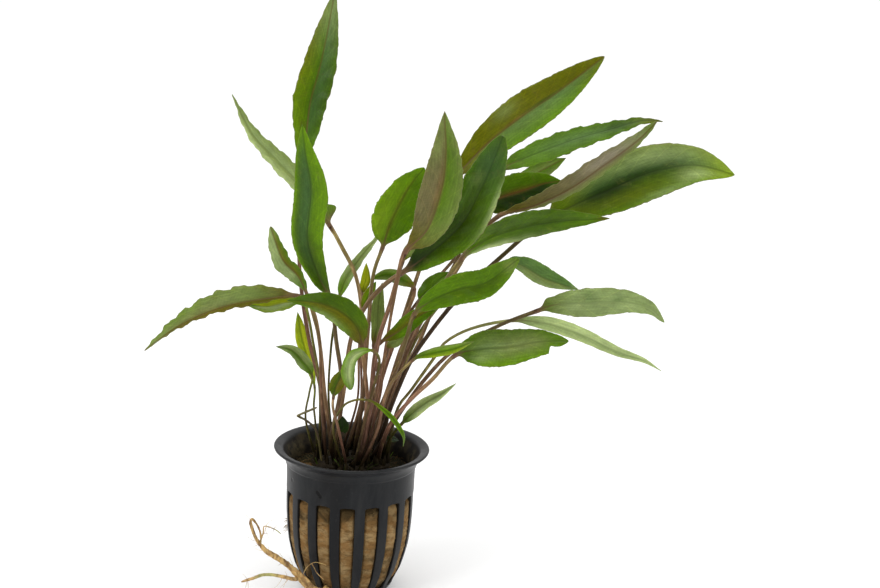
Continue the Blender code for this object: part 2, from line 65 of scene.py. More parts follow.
# Each leaf in millimetres and degrees: where its stalk stands and the stalk's radius, the blade's width and
# where along it that is widest, how far the upper face is turned about the midrib from facing the front, at
# the neck and at the tip, how far both halves fold up, then the points that stalk and blade run through
Leaf = namedtuple("Leaf", "name tone root radius width belly turn fold stalk blade")
LEAVES = (
    Leaf("leaf_tall_left", OLIVE, (-9.8, 3.4), 0.85, 12.5, 0.45, (-10, -10), 10,
         ((-11, 7, 65), (-17, 11, 87), (-21, 13, 113), (-21, 15, 145)),
         ((-20, 17, 158), (-19, 19, 168), (-16, 21, 181), (-12, 24, 206))),
    Leaf("leaf_front_left", DARK, (-5.6, -3.6), 0.85, 11.5, 0.58, (5, 5), 12,
         ((-7, -7, 55), (-4, -10, 76), (-6, -12, 92), (-8, -14, 106)),
         ((-12, -17, 115), (-16, -22, 129), (-15, -27, 146), (-17, -31, 160), (-18, -33, 169))),
    Leaf("leaf_pale_left", PALE, (-2.2, 5.4), 0.85, 9, 0.35, (50, 55), 8,
         ((3, 10, 68), (2, 12, 90), (-1, 15, 107), (-7, 18, 118), (-11, 20, 124)),
         ((-21, 23, 137), (-30, 28, 144), (-40, 33, 153), (-48, 38, 166))),
    Leaf("leaf_small_left", OLIVE, (-8.5, -3.5), 0.65, 7.5, 0.45, (-20, -20), 20,
         ((-11, -4, 70), (-12, -4, 88), (-15, -4, 100), (-17, -4, 106)),
         ((-20, -4, 112), (-25, -3, 117), (-28, -2, 123), (-30, -1, 128))),
    Leaf("leaf_drooping_left", OLIVE, (-6.5, 1), 0.8, 12, 0.4, (50, 60), 20,
         ((-10, 2, 68), (-12, 3, 84), (-15, 3, 98), (-20, 3, 103)),
         ((-28, 4, 102), (-40, 6, 99), (-52, 8, 94), (-64, 10, 87), (-74, 10, 79))),
    Leaf("leaf_bright_left", BRIGHT, (-11.2, 2), 0.6, 6, 0.4, (40, 50), 8,
         ((-12, 4, 70), (-15, 5, 87), (-17, 6, 96), (-19, 7, 100)),
         ((-25, 8, 99), (-31, 9, 97), (-38, 10, 97))),
    Leaf("leaf_arching_front", BRIGHT, (2.2, -5.9), 0.85, 10, 0.4, (20, 40), 10,
         ((4, -7, 56), (5, -9, 71), (4, -14, 83), (3, -18, 92)),
         ((1, -22, 100), (-4, -26, 106), (-11, -31, 110), (-21, -37, 112))),
    Leaf("leaf_yellow_left", BRIGHT, (-11.6, -0.2), 0.45, 4.8, 0.6, (0, 0), 8,
         ((-13, 2, 58), (-14, 6, 63), (-14, 8, 69)),
         ((-16, 11, 76), (-19, 12, 85), (-21, 12, 95))),
    Leaf("leaf_dark_small_left", DARK, (-12, -2.4), 0.45, 5, 0.35, (30, 40), 12,
         ((-16, -4, 61), (-15, -6, 71), (-14, -8, 78)),
         ((-17, -9, 83), (-21, -12, 88), (-26, -15, 90))),
    Leaf("leaf_thin_upright", BRIGHT, (-6, 3.3), 0.5, 4.4, 0.25, (-10, -85), 8,
         ((-9, 8, 65), (-9, 12, 82), (-8, 14, 92), (-7, 15, 99)),
         ((-5, 17, 106), (-1, 20, 112), (5, 24, 119), (11, 28, 127))),
    Leaf("leaf_yellow_centre", BRIGHT, (-1, 10.4), 0.5, 3.4, 0.4, (0, 0), 8,
         ((2, 15, 63), (1, 16, 85), (1, 17, 101)),
         ((2, 18, 106), (2, 19, 112))),
    Leaf("leaf_centre_upright", BRIGHT, (2.6, 5.2), 0.7, 5, 0.5, (-10, -10), 8,
         ((6, 7, 58), (8, 8, 73), (6, 8, 85)),
         ((7, 9, 92), (7, 10, 100), (8, 12, 107))),
    Leaf("leaf_centre_small", BRIGHT, (-3.8, 8), 0.5, 3.6, 0.5, (-10, -10), 8,
         ((1, 8, 65), (1, 6, 84), (2, 6, 98)),
         ((3, 7, 102), (6, 9, 108))),
    Leaf("leaf_grey_centre", PALE, (1, 8.5), 0.75, 5.2, 0.4, (30, 30), 8,
         ((7, 14, 63), (13, 21, 84), (18, 26, 96), (19, 28, 101)),
         ((14, 30, 104), (9, 31, 105), (3, 31, 103))),
    Leaf("leaf_shade_centre", DARK, (7.6, 5.4), 0.7, 7, 0.4, (-30, -30), 8,
         ((12, 12, 64), (18, 13, 87), (21, 14, 100)),
         ((25, 15, 105), (28, 17, 108), (32, 19, 110))),
    Leaf("leaf_pale_centre", PALE, (5.6, 1.4), 0.65, 5, 0.5, (-10, -10), 8,
         ((9, 4, 74), (12, 3, 100), (15, 2, 117)),
         ((19, 1, 123), (25, -1, 128))),
    Leaf("leaf_bright_centre", BRIGHT, (0.6, 6.2), 0.8, 15.5, 0.4, (15, 15), 6,
         ((3, 6, 66), (4, 5, 92), (5, 3, 111), (8, 1, 122)),
         ((10, 0, 130), (13, -1, 137), (17, -2, 145), (21, -3, 151))),
    Leaf("leaf_brown_front", BRONZE, (0.2, -7.6), 0.95, 13.8, 0.45, (-5, -5), 10,
         ((4, -10, 53), (6, -11, 70), (8, -15, 92), (12, -18, 108), (14, -20, 117), (16, -22, 126)),
         ((23, -26, 135), (27, -32, 149), (28, -38, 162), (27, -43, 177))),
    Leaf("leaf_dark_broad", DARK, (-4.6, -1), 0.95, 15, 0.5, (-15, -15), 8,
         ((-5, -4, 54), (-3, -6, 75), (-1, -8, 93), (4, -10, 105), (10, -13, 113), (15, -14, 117)),
         ((23, -17, 124), (34, -21, 136), (41, -26, 152), (46, -31, 168))),
    Leaf("leaf_bright_right", BRIGHT, (4.6, -6.6), 0.85, 10.5, 0.5, (-20, -20), 10,
         ((8, -8, 58), (11, -10, 71), (15, -14, 85), (18, -18, 97), (20, -21, 105)),
         ((26, -24, 111), (34, -28, 116), (43, -33, 120), (53, -39, 130))),
    Leaf("leaf_olive_centre", OLIVE, (3.2, -3.6), 0.7, 6, 0.5, (-20, -20), 10,
         ((5, -4, 58), (6, -6, 73), (7, -9, 87), (9, -11, 92)),
         ((15, -14, 97), (21, -17, 103), (29, -21, 109))),
    Leaf("leaf_small_grey", PALE, (4.2, -0.8), 0.45, 3.8, 0.5, (0, 0), 8,
         ((9, -2, 69), (10, -4, 80), (11, -5, 88)),
         ((14, -5, 91), (17, -5, 94))),
    Leaf("leaf_dark_right", DARK, (8.8, -2.4), 0.85, 12.5, 0.35, (-15, -15), 6,
         ((13, -9, 62), (20, -13, 73), (27, -18, 82), (34, -23, 92)),
         ((42, -28, 96), (52, -34, 99), (61, -40, 103), (70, -45, 105))),
    Leaf("leaf_narrow_right", BRIGHT, (3.4, -9.6), 0.6, 3.6, 0.5, (-30, -30), 8,
         ((9, -12, 61), (12, -16, 77), (20, -21, 89)),
         ((26, -25, 93), (33, -29, 96), (40, -33, 100))),
    Leaf("leaf_low_right", BRIGHT, (11.2, -1.6), 0.6, 5.4, 0.3, (-30, -30), 10,
         ((13, -4, 55), (17, -7, 62)),
         ((20, -9, 66), (25, -11, 71), (30, -13, 75), (35, -15, 80))),
    Leaf("leaf_hanging_narrow", BRIGHT, (-2.2, -9.2), 0.45, 2.6, 0.5, (-20, -20), 8,
         ((-6, -13, 61), (-3, -16, 70), (1, -17, 73), (5, -16, 73)),
         ((8, -16, 72), (13, -16, 68), (16, -15, 64), (18, -14, 60), (18, -13, 56))),
    Leaf("leaf_in_pot", DARK, (12.2, 3.4), 0.45, 3, 0.4, (-60, -60), 8,
         ((12, 8, 50),),
         ((13, 9, 51), (16, 11, 50))),
    Leaf("leaf_tiny_front", DARK, (-2.8, -6.2), 0.4, 4.6, 0.4, (0, 0), 8,
         ((-5, -8, 50), (-4, -10, 59)),
         ((-3, -10, 61), (-3, -10, 65))),
    Leaf("leaf_folded_pale", PALE, (1.2, -10.6), 0.6, 5, 0.6, (60, 0), 8,
         ((4, -12, 61), (7, -14, 76), (9, -18, 87), (7, -22, 92)),
         ((3, -24, 92), (0, -26, 90), (-1, -26, 85), (0, -25, 79))),
    Leaf("leaf_dark_front", DARK, (-0.8, -10.8), 0.55, 5, 0.45, (0, 0), 8,
         ((-4, -16, 62), (-6, -18, 70), (-6, -18, 74)),
         ((-5, -20, 79), (-2, -23, 86))),
    Leaf("leaf_olive_top", OLIVE, (-0.2, 12), 0.9, 15.5, 0.48, (-20, -20), 8,
         ((6, 20, 62), (14, 29, 85), (21, 36, 108), (27, 39, 126), (31, 40, 138)),
         ((41, 43, 150), (54, 46, 161), (68, 51, 171), (83, 55, 183))),
    Leaf("leaf_bluegreen_right", DARK, (2.3, 10.7), 0.85, 12, 0.32, (-45, -50), 8,
         ((10, 17, 63), (18, 19, 88), (34, 21, 111), (42, 24, 132), (46, 26, 144)),
         ((56, 29, 150), (69, 32, 155), (82, 35, 159), (95, 38, 163), (104, 40, 163))),
    Leaf("leaf_small_back", OLIVE, (-2.6, 11), 0.7, 7, 0.5, (-30, -30), 8,
         ((4, 22, 61), (16, 34, 88), (35, 39, 113), (51, 42, 135)),
         ((58, 44, 140), (71, 47, 147))),
    Leaf("leaf_olive_right", OLIVE, (10.4, 4.6), 0.85, 13.5, 0.45, (-10, -10), 8,
         ((12, 10, 65), (20, 11, 91), (32, 11, 113), (40, 10, 135)),
         ((47, 10, 139), (56, 12, 142), (62, 14, 144), (68, 15, 145))),
    Leaf("leaf_bright_long", BRIGHT, (10.6, 2), 0.85, 11, 0.45, (-45, -45), 12,
         ((13, 4, 67), (22, 4, 89), (28, 2, 107), (35, -2, 120)),
         ((44, -4, 128), (55, -7, 133), (67, -10, 136), (83, -14, 139))),
    Leaf("leaf_broad_glossy", DARK, (8.6, 0.2), 0.95, 19, 0.5, (-20, -20), 6,
         ((11, -1, 59), (18, 0, 80), (25, 2, 92), (36, 3, 107), (50, 6, 121), (62, 8, 132)),
         ((73, 10, 138), (85, 11, 144), (98, 12, 150), (113, 13, 153), (127, 14, 150))),
    Leaf("leaf_mauve_underside", BRONZE, (8.2, 2.9), 0.85, 12.5, 0.5, (-135, -135), 5,
         ((12, 7, 66), (21, 8, 92), (33, 7, 115), (41, 6, 127), (47, 5, 134)),
         ((58, 2, 139), (70, -1, 146), (80, -4, 154), (90, -6, 163), (97, -7, 171))),
    Leaf("leaf_green_back_right", BRIGHT, (3.3, 8.3), 0.75, 8.4, 0.45, (-20, -20), 6,
         ((12, 15, 64), (22, 16, 89), (35, 18, 106), (50, 20, 114)),
         ((56, 22, 113), (65, 24, 108), (77, 26, 104))),
    Leaf("leaf_grey_arched", PALE, (6.3, -1.6), 0.8, 10, 0.4, (-30, -30), 8,
         ((15, -5, 63), (24, -7, 78), (34, -9, 90), (49, -11, 100), (61, -13, 106)),
         ((67, -15, 109), (78, -19, 111), (89, -23, 113), (97, -26, 112), (102, -28, 108))),
    Leaf("leaf_pale_drooping", PALE, (12.2, 0.6), 0.65, 5.4, 0.3, (-30, -30), 4,
         ((15, 1, 64), (20, 2, 72), (27, 3, 83), (31, 4, 89), (40, 5, 94), (53, 6, 97)),
         ((65, 8, 96), (78, 10, 92), (91, 12, 86), (100, 13, 83), (107, 14, 79))),
)

# Thin broken stalk with two kinks, whose foot stands on its crown, and the roots: radius and points of each
KINKED_STALK = (0.4, ((-10, -4, STALK_FOOT), (-12, -5, 57), (-15, -6, 61), (-18, -7, 63), (-18, -8, 64),
                      (-12, -8, 67)))
ROOTS = {
    "root_trunk": ((1.2, (-5.9, -14.7, 4.4)), (1.3, (-7.2, -17.3, 3.4)), (1.5, (-10.5, -18.0, 4.0)),
                   (1.5, (-13.5, -18.0, 6.8)), (1.3, (-16.3, -18.2, 9.8)), (1.2, (-18.6, -18.8, 12.3))),
    "root_upper": ((1.1, (-20.2, -19.2, 13.9)), (1.2, (-23.7, -20.0, 16.5)), (1.0, (-27.2, -20.0, 18.6)),
                   (0.9, (-29.3, -20.0, 21.0))),
    "root_loop": ((0.7, (-30.5, -20.0, 22.6)), (0.7, (-31.6, -20.0, 25.0)), (0.6, (-32.7, -20.0, 28.5)),
                  (0.5, (-32.2, -20.0, 30.0)), (0.45, (-30.9, -20.0, 28.6)), (0.4, (-29.8, -20.0, 26.6))),
    "root_curl": ((0.5, (-29.0, -20.0, 22.9)), (0.45, (-28.3, -19.7, 25.0)), (0.3, (-28.2, -19.0, 27.1)),
                  (0.3, (-26.2, -18.0, 26.4)), (0.3, (-24.2, -17.0, 25.2)), (0.3, (-22.5, -16.0, 23.4))),
    "root_lower": ((0.9, (-17.4, -20.2, 8.8)), (0.9, (-20.9, -20.5, 9.6)), (0.7, (-25.0, -20.6, 10.2)),
                   (0.7, (-28.3, -21.0, 10.1)), (0.7, (-31.0, -21.0, 8.9)), (0.6, (-33.4, -21.0, 8.0)),
                   (0.5, (-35.4, -21.0, 7.2))),
}

# What each leaf is painted with: the colours at its edge and halfway in on the side that across points away
# from, then halfway in and at its edge on the other side, the colour that it starts from at the neck, the
# colour of its tip, how strongly its margin ruffles, and its stalk's colour
# The colours are partly painted light and shade: a leaf or half of one that lies in shade is painted darker,
# and one that catches the light lighter.
Paint = namedtuple("Paint", "across neck tip ruffle stalk", defaults=("stalk_mauve",))
PAINTS = {
    "leaf_tall_left": Paint("deep teal leafy olive", "leafy", "sage", 1.0),
    "leaf_front_left": Paint("bright leafy teal deep", "leafy", "bright", 0.8),
    "leaf_pale_left": Paint("sage pale sage silver", "leafy", "sage", 0.8),
    "leaf_small_left": Paint("leafy olive pale pale", "leafy", "sage", 1.0),
    "leaf_drooping_left": Paint("sage sage umber umber", "umber", "sage", 1.2),
    "leaf_bright_left": Paint("lime yellow silver lime", "bright", "bright", 0.7, "stalk_green"),
    "leaf_arching_front": Paint("deep deep olive leafy", "umber", "leafy", 0.8),
    "leaf_yellow_left": Paint("yellow yellow lime yellow", "lime", "lime", 0.5, "stalk_green"),
    "leaf_dark_small_left": Paint("pale sage leafy pale", "leafy", "pale", 0.8, "stalk_green"),
    "leaf_thin_upright": Paint("pale sage sage pale", "bright", "leafy", 0.5, "stalk_green"),
    "leaf_yellow_centre": Paint("olive yellow yellow yellow", "olive", "yellow", 0.4),
    "leaf_centre_upright": Paint("sage sage sage sage", "umber", "olive", 0.5),
    "leaf_centre_small": Paint("leafy olive bright olive", "olive", "leafy", 0.4),
    "leaf_grey_centre": Paint("sage leafy deep sage", "olive", "leafy", 0.5),
    "leaf_shade_centre": Paint("leafy leafy leafy deep", "leafy", "deep", 0.6),
    "leaf_pale_centre": Paint("sage sage sage olive", "olive", "sage", 0.5),
    "leaf_bright_centre": Paint("leafy leafy bright bright", "leafy", "bright", 0.9),
    "leaf_brown_front": Paint("sage leafy mauve mauve", "umber", "sage", 0.9),
    "leaf_dark_broad": Paint("leafy deep deep leafy", "forest", "deep", 0.9),
    "leaf_bright_right": Paint("leafy deep leafy leafy", "leafy", "leafy", 0.7),
    "leaf_olive_centre": Paint("leafy leafy olive leafy", "umber", "leafy", 0.6),
    "leaf_small_grey": Paint("sage sage sage sage", "umber", "sage", 0.4),
    "leaf_dark_right": Paint("bright sage sage deep", "leafy", "leafy", 0.9),
    "leaf_narrow_right": Paint("lime leafy bright sage", "leafy", "sage", 0.4),
    "leaf_low_right": Paint("silver pale sage silver", "leafy", "silver", 0.5, "stalk_green"),
    "leaf_hanging_narrow": Paint("bright leafy leafy bright", "olive", "pale", 0.3, "stalk_green"),
    "leaf_in_pot": Paint("forest forest forest forest", "forest", "forest", 0.3, "stalk_brown"),
    "leaf_tiny_front": Paint("forest forest forest forest", "forest", "forest", 0.4, "stalk_brown"),
    "leaf_folded_pale": Paint("bright pale silver leafy", "bright", "leafy", 0.6),
    "leaf_dark_front": Paint("olive umber deep olive", "deep", "sage", 0.6),
    "leaf_olive_top": Paint("bright jade olive olive", "olive", "olive", 0.8),
    "leaf_bluegreen_right": Paint("leafy jade jade leafy", "leafy", "umber", 1.0),
    "leaf_small_back": Paint("sage leafy sage leafy", "deep", "leafy", 0.6),
    "leaf_olive_right": Paint("forest forest deep leafy", "deep", "leafy", 0.8),
    "leaf_bright_long": Paint("deep leafy deep deep", "leafy", "leafy", 0.5),
    "leaf_broad_glossy": Paint("leafy deep teal sage", "olive", "lime", 0.7, "stalk_brown"),
    "leaf_mauve_underside": Paint("mauve mauve mauve sage", "umber", "sage", 0.6),
    "leaf_green_back_right": Paint("pale sage jade jade", "jade", "jade", 0.7, "stalk_green"),
    "leaf_grey_arched": Paint("pale pale pale pale", "sage", "pale", 0.9),
    "leaf_pale_drooping": Paint("silver pale silver silver", "pale", "silver", 0.4, "stalk_green"),
}

# Blades with a margin torn to a second point: which side, how far along, and the width left past it
TORN = {"leaf_dark_right": (-1, 0.84, 0.5)}

# Blades with a blunt tip: a smaller power rounds it more
BLUNT = {
    "leaf_dark_broad": 0.55, "leaf_olive_top": 0.72, "leaf_small_left": 0.62, "leaf_mauve_underside": 0.62,
    "leaf_dark_right": 0.68, "leaf_bright_right": 0.62, "leaf_folded_pale": 0.5, "leaf_broad_glossy": 0.78,
    "leaf_grey_arched": 0.78, "leaf_bright_left": 0.6, "leaf_dark_front": 0.6, "leaf_bright_centre": 0.7,
}

# Blades with one half narrower than the other: which half, and its share of the width
UNEVEN = {"leaf_drooping_left": (1, 0.62), "leaf_bluegreen_right": (1, 0.85),
          "leaf_mauve_underside": (1, 0.85), "leaf_green_back_right": (-1, 0.72)}

# Blades with a lobe near the neck: which half, how far along, how far it spreads and how far it stands out
LOBED = {"leaf_pale_left": (-1, 0.05, 0.05, 5.0), "leaf_broad_glossy": (1, 0.08, 0.05, 0.5),
         "leaf_grey_arched": (1, 0.07, 0.04, 0.5)}

# Blades that are slimmer than their solids, as a share of the width
SLIM = {"leaf_hanging_narrow": 0.7, "leaf_bluegreen_right": 0.92, "leaf_low_right": 0.82,
        "leaf_drooping_left": 1.06}

# Local colour on a blade: how far along and across it, how far it spreads each way, its colour and strength
# Besides the leaves' own markings, many patches are painted light: the silver and pale ones mostly paint
# sheen highlights, and the forest and deep ones partly paint shade.
PATCHES = {
    "leaf_broad_glossy": (
        (0.62, 0.55, 0.18, 0.35, "silver", 0.35), (0.78, 0.1, 0.12, 0.25, "pale", 0.25),
        (0.8, -0.5, 0.1, 0.35, "silver", 0.6), (0.08, 0.0, 0.12, 1.5, "leafy", 0.7),
        (0.34, -0.1, 0.16, 0.4, "forest", 0.9), (0.5, 0.05, 0.25, 0.25, "forest", 0.75),
        (0.45, -0.6, 0.25, 0.3, "olive", 0.5), (0.62, -0.9, 0.12, 0.15, "pale", 0.6)),
    "leaf_dark_broad": (
        (0.62, -0.95, 0.15, 0.13, "silver", 0.9), (0.84, 0.1, 0.16, 1.2, "teal", 0.8),
        (0.15, 0.3, 0.22, 0.9, "forest", 0.6), (0.2, -0.8, 0.2, 0.35, "bright", 0.6),
        (0.42, 0.1, 0.18, 0.7, "forest", 0.6), (0.72, 0.4, 0.04, 0.25, "sage", 0.45),
        (0.6, 0.55, 0.2, 0.12, "jade", 0.4)),
    "leaf_olive_top": (
        (0.42, 0.06, 0.1, 0.07, "russet", 0.7), (0.62, 0.04, 0.08, 0.06, "forest", 0.6),
        (0.24, 0.05, 0.09, 0.08, "russet", 0.8), (0.8, 0.05, 0.08, 0.07, "umber", 0.9),
        (0.42, 0.7, 0.07, 0.3, "pale", 0.4), (0.15, -0.2, 0.14, 0.8, "olive", 0.7),
        (0.3, -0.6, 0.12, 0.6, "leafy", 0.6), (0.52, -0.35, 0.18, 0.3, "sage", 0.25)),
    "leaf_olive_right": (
        (0.45, 0.05, 0.30, 0.12, "russet", 0.6), (0.45, -0.6, 0.5, 0.6, "forest", 0.7)),
    "leaf_bright_long": (
        (0.22, -0.95, 0.26, 0.3, "silver", 1.0), (0.62, 0.0, 0.2, 0.3, "forest", 0.35),
        (0.6, 0.5, 0.3, 0.4, "leafy", 0.5), (0.97, 0.0, 0.04, 1.2, "umber", 0.8)),
    "leaf_dark_right": (
        (0.42, -0.22, 0.26, 0.06, "silver", 0.45), (0.4, 0.15, 0.22, 0.05, "pale", 0.5),
        (0.3, 0.0, 0.14, 0.5, "teal", 0.5), (0.22, -0.55, 0.1, 0.25, "pale", 0.6),
        (0.5, -0.85, 0.3, 0.22, "bright", 0.6), (0.93, 0.0, 0.12, 1.5, "leafy", 0.8),
        (0.08, 0.0, 0.1, 1.2, "deep", 0.6)),
    "leaf_grey_arched": (
        (0.05, 0.1, 0.06, 1.2, "leafy", 0.8), (0.4, 0.4, 0.05, 0.3, "teal", 0.4),
        (0.62, 0.2, 0.04, 0.3, "teal", 0.35), (0.30, -0.3, 0.07, 0.3, "silver", 0.35),
        (0.7, -0.4, 0.07, 0.3, "silver", 0.3)),
    "leaf_tall_left": (
        (0.28, 0.8, 0.22, 0.35, "bright", 0.7), (0.88, 0.0, 0.18, 1.4, "pale", 0.55),
        (0.45, 0.0, 0.2, 0.25, "deep", 0.6)),
    "leaf_front_left": (
        (0.12, 0.0, 0.24, 1.6, "deep", 0.9), (0.30, 0.1, 0.14, 0.7, "forest", 0.5),
        (0.62, 0.25, 0.3, 0.32, "teal", 0.7), (0.97, 0.0, 0.07, 1.0, "bright", 0.6),
        (0.5, 0.96, 0.45, 0.20, "bright", 0.9), (0.62, -0.7, 0.3, 0.5, "bright", 0.6)),
    "leaf_bluegreen_right": (
        (0.25, -0.3, 0.14, 0.7, "leafy", 0.6), (0.72, 0.2, 0.10, 0.9, "forest", 0.5)),
    "leaf_drooping_left": (
        (0.25, -0.3, 0.16, 0.6, "leafy", 0.35), (0.5, 0.0, 0.5, 0.15, "umber", 0.7),
        (0.6, -0.2, 0.2, 0.4, "mauve", 0.3), (0.75, -0.8, 0.2, 0.3, "bright", 0.35)),
    "leaf_arching_front": (
        (0.25, -0.6, 0.25, 0.4, "leafy", 0.5), (0.55, 0.85, 0.20, 0.25, "silver", 0.4),
        (0.4, 0.3, 0.3, 0.3, "umber", 0.4)),
    "leaf_brown_front": (
        (0.2, -0.4, 0.14, 0.6, "sage", 0.5), (0.5, 0.12, 0.3, 0.16, "russet", 0.4),
        (0.8, 0.6, 0.16, 0.5, "sage", 0.7), (0.55, -0.6, 0.3, 0.3, "leafy", 0.35)),
    "leaf_mauve_underside": (
        (0.68, -0.45, 0.18, 0.5, "ash", 0.85), (0.86, -0.6, 0.1, 0.6, "pale", 0.3),
        (0.95, 0.0, 0.05, 1.2, "leafy", 0.6), (0.25, -0.4, 0.2, 0.5, "umber", 0.4),
        (0.5, 0.1, 0.3, 0.1, "mauve", 0.7)),
    "leaf_bright_right": (
        (0.92, 0.0, 0.07, 1.0, "sage", 0.7), (0.45, 0.0, 0.3, 0.2, "deep", 0.35)),
    "leaf_bright_left": ((0.5, 0.4, 0.10, 0.4, "silver", 0.7),),
    "leaf_bright_centre": (
        (0.2, 0.0, 0.2, 0.10, "umber", 0.8), (0.6, 0.05, 0.3, 0.10, "umber", 0.6),
        (0.3, 0.6, 0.3, 0.4, "lime", 0.45)),
    "leaf_small_left": (
        (0.75, 0.55, 0.25, 0.5, "silver", 0.45), (0.45, 0.0, 0.4, 0.12, "umber", 0.8)),
    "leaf_green_back_right": ((0.95, 0.3, 0.05, 0.5, "silver", 0.5),),
}

# Where across a blade its four painted colours stand
ACROSS_STOPS = (-1.0, -0.12, 0.12, 1.0)

# Points of a leaf's section across its upper face, from one edge over the midrib to the other
ACROSS = (-1.0, -0.95, -0.84, -0.68, -0.5, -0.32, -0.16, -0.06, 0.0,
          0.06, 0.16, 0.32, 0.5, 0.68, 0.84, 0.95, 1.0)

# Powers that a blade's outline rises with from its neck and falls with to its tip
SHAPE_BASE = 0.8
SHAPE_TIP = 0.9

# How much of a half turn eases the spacing of a blade's rings, and where the last one stands
RING_EASE = 0.985
LAST_RING = 0.994

# Points that each span of a curve is measured with
SPAN_SAMPLES = 48


def colour_property(name, description, default):
    """Colour that a user can change."""
    return FloatVectorProperty(name=name, description=description, default=default, size=3, subtype="COLOR",
                               min=0.0, max=1.0)


def length_property(name, description, millimetres):
    """Length that a user can change."""
    return FloatProperty(name=name, description=description, default=millimetres * MM, min=0.0,
                         unit="LENGTH", precision=5)


def factor_property(name, description, default):
    """Share from nothing to all, that a user can change."""
    return FloatProperty(name=name, description=description, default=default, min=0.0, max=1.0,
                         subtype="FACTOR")


class LeafSettings(bpy.types.PropertyGroup):
    """Sizes that all the leaves share."""
    thickness: length_property("Thickness", "Thickness of a blade between its veins", 0.34)
    edge_thickness: length_property("Edge Thickness", "Thickness of a blade near its margin", 0.16)
    ruffle: length_property("Ruffle", "How far a margin waves to either side of its blade", 0.55)
    crinkle: factor_property("Crinkle", "How far the margin's outline waves, as a share of the width", 0.04)
    wave: length_property("Wave", "Length of one wave of the margin", 7.5)
    pucker: length_property("Pucker", "How far the blade swells between its side veins", 0.07)
    vein_spacing: length_property("Vein Spacing", "Distance between side veins along the midrib", 7.5)
    vein_slant: FloatProperty(name="Vein Slant", description="How far side veins run forward for each unit "
                              "they run out", default=2.4, min=0.0, max=4.0)
    blade_steps: IntProperty(name="Blade Steps", description="Sections along a long blade", default=88,
                             min=12, max=200)
    stalk_steps: IntProperty(name="Stalk Steps", description="Sections along a stalk", default=26, min=6,
                             max=80)
    sheath_growth: factor_property("Sheath", "How much wider a stalk is at its foot", 0.15)


# Silver and pale also serve as painted sheen highlights on blades, and forest and deep partly as painted
# shade
class LeafColours(bpy.types.PropertyGroup):
    """Colours that the leaves and stalks are painted with."""
    forest: colour_property("Forest", "Darkest glossy green", (0.008, 0.019, 0.0002))
    deep: colour_property("Deep", "Dark green", (0.045, 0.088, 0.001))
    leafy: colour_property("Leafy", "Middle green", (0.066, 0.138, 0.001))
    bright: colour_property("Bright", "Clear green", (0.105, 0.21, 0.002))
    lime: colour_property("Lime", "Light yellow green", (0.215, 0.3, 0.01))
    yellow: colour_property("Yellow", "Yellow of the youngest leaves", (0.33, 0.37, 0.008))
    olive: colour_property("Olive", "Olive green", (0.1, 0.102, 0.001))
    umber: colour_property("Umber", "Brownish green", (0.1, 0.082, 0.004))
    sage: colour_property("Sage", "Grey green", (0.148, 0.192, 0.046))
    pale: colour_property("Pale", "Pale grey green", (0.205, 0.267, 0.096))
    silver: colour_property("Silver", "Palest grey green", (0.355, 0.435, 0.178))
    teal: colour_property("Teal", "Bluish green", (0.042, 0.094, 0.023))
    jade: colour_property("Jade", "Bluish middle green", (0.09, 0.165, 0.04))
    ash: colour_property("Ash", "Pinkish grey of an underside", (0.23, 0.2, 0.14))
    mauve: colour_property("Mauve", "Mauve grey of an underside", (0.132, 0.114, 0.046))
    stalk_mauve: colour_property("Mauve Stalk", "Pinkish brown stalk", (0.165, 0.082, 0.052))
    stalk_green: colour_property("Green Stalk", "Greenish stalk", (0.12, 0.1, 0.03))
    stalk_brown: colour_property("Brown Stalk", "Dark brown stalk", (0.055, 0.032, 0.016))
    russet: colour_property("Russet", "Reddish brown midrib", (0.150, 0.062, 0.016))
    sheath: colour_property("Sheath", "Sheath at a stalk's foot", (0.055, 0.04, 0.012))
    underside: colour_property("Underside", "Underside of a green blade", (0.215, 0.260, 0.125))


class PotSettings(bpy.types.PropertyGroup):
    """Sizes and colours of the net pot."""
    slots: IntProperty(name="Slots", description="Upright slots around the wall", default=16, min=4, max=40)
    slot_bottom: length_property("Slot Bottom", "Height that the slots start at", 2.7)
    slot_top: length_property("Slot Top", "Height that the slots end at", 35.9)
    slot_width: FloatProperty(name="Slot Width", description="Angle that a slot spans",
                              default=math.radians(13.4), subtype="ANGLE")
    first_slot: FloatProperty(name="First Slot", description="Angle from the front to a slot's middle",
                              default=math.radians(0.6), subtype="ANGLE")
    edge_round: length_property("Edge Round", "Rounding of the moulded edges", 0.22)
    plastic: colour_property("Plastic", "Colour of the moulded plastic", (0.0055, 0.0055, 0.006))
    tint: colour_property("Tint", "Bluish tint of the ribs", (0.006, 0.007, 0.0085))
    dust: colour_property("Dust", "Dried film on the plastic", (0.030, 0.030, 0.030))
    grime: colour_property("Grime", "Brownish film inside the wall", (0.042, 0.031, 0.014))
    roughness: factor_property("Roughness", "Roughness of the clean plastic", 0.3)


class WoolSettings(bpy.types.PropertyGroup):
    """Sizes and colours of the rock wool plug."""
    lumps: length_property("Lumps", "How far the plug's side is uneven", 0.3)
    top_lumps: length_property("Top Lumps", "How far the plug's top is uneven", 1.1)
    side_fibres: IntProperty(name="Side Fibres", description="Loose fibres on the plug's side", default=900,
                             min=0, max=6000)
    top_fibres: IntProperty(name="Top Fibres", description="Loose fibres on the plug's top", default=900,
                            min=0, max=6000)
    fibre_radius: length_property("Fibre Radius", "Radius of a bundle of fibres", 0.055)
    light: colour_property("Light", "Dry fibre", (0.285, 0.190, 0.085))
    golden: colour_property("Golden", "Stained fibre", (0.200, 0.108, 0.036))
    dark: colour_property("Dark", "Wet fibre and silt", (0.040, 0.025, 0.009))
    algae: colour_property("Algae", "Green film on the top", (0.030, 0.029, 0.010))


class RootSettings(bpy.types.PropertyGroup):
    """Colours and hairs of the loose roots."""
    straw: colour_property("Straw", "Dry root", (0.540, 0.350, 0.125))
    brown: colour_property("Brown", "Darker root", (0.190, 0.098, 0.026))
    green: colour_property("Green", "Living root tip", (0.330, 0.360, 0.110))
    hairs: IntProperty(name="Hairs", description="Root hairs for each centimetre of root", default=5, min=0,
                       max=200)


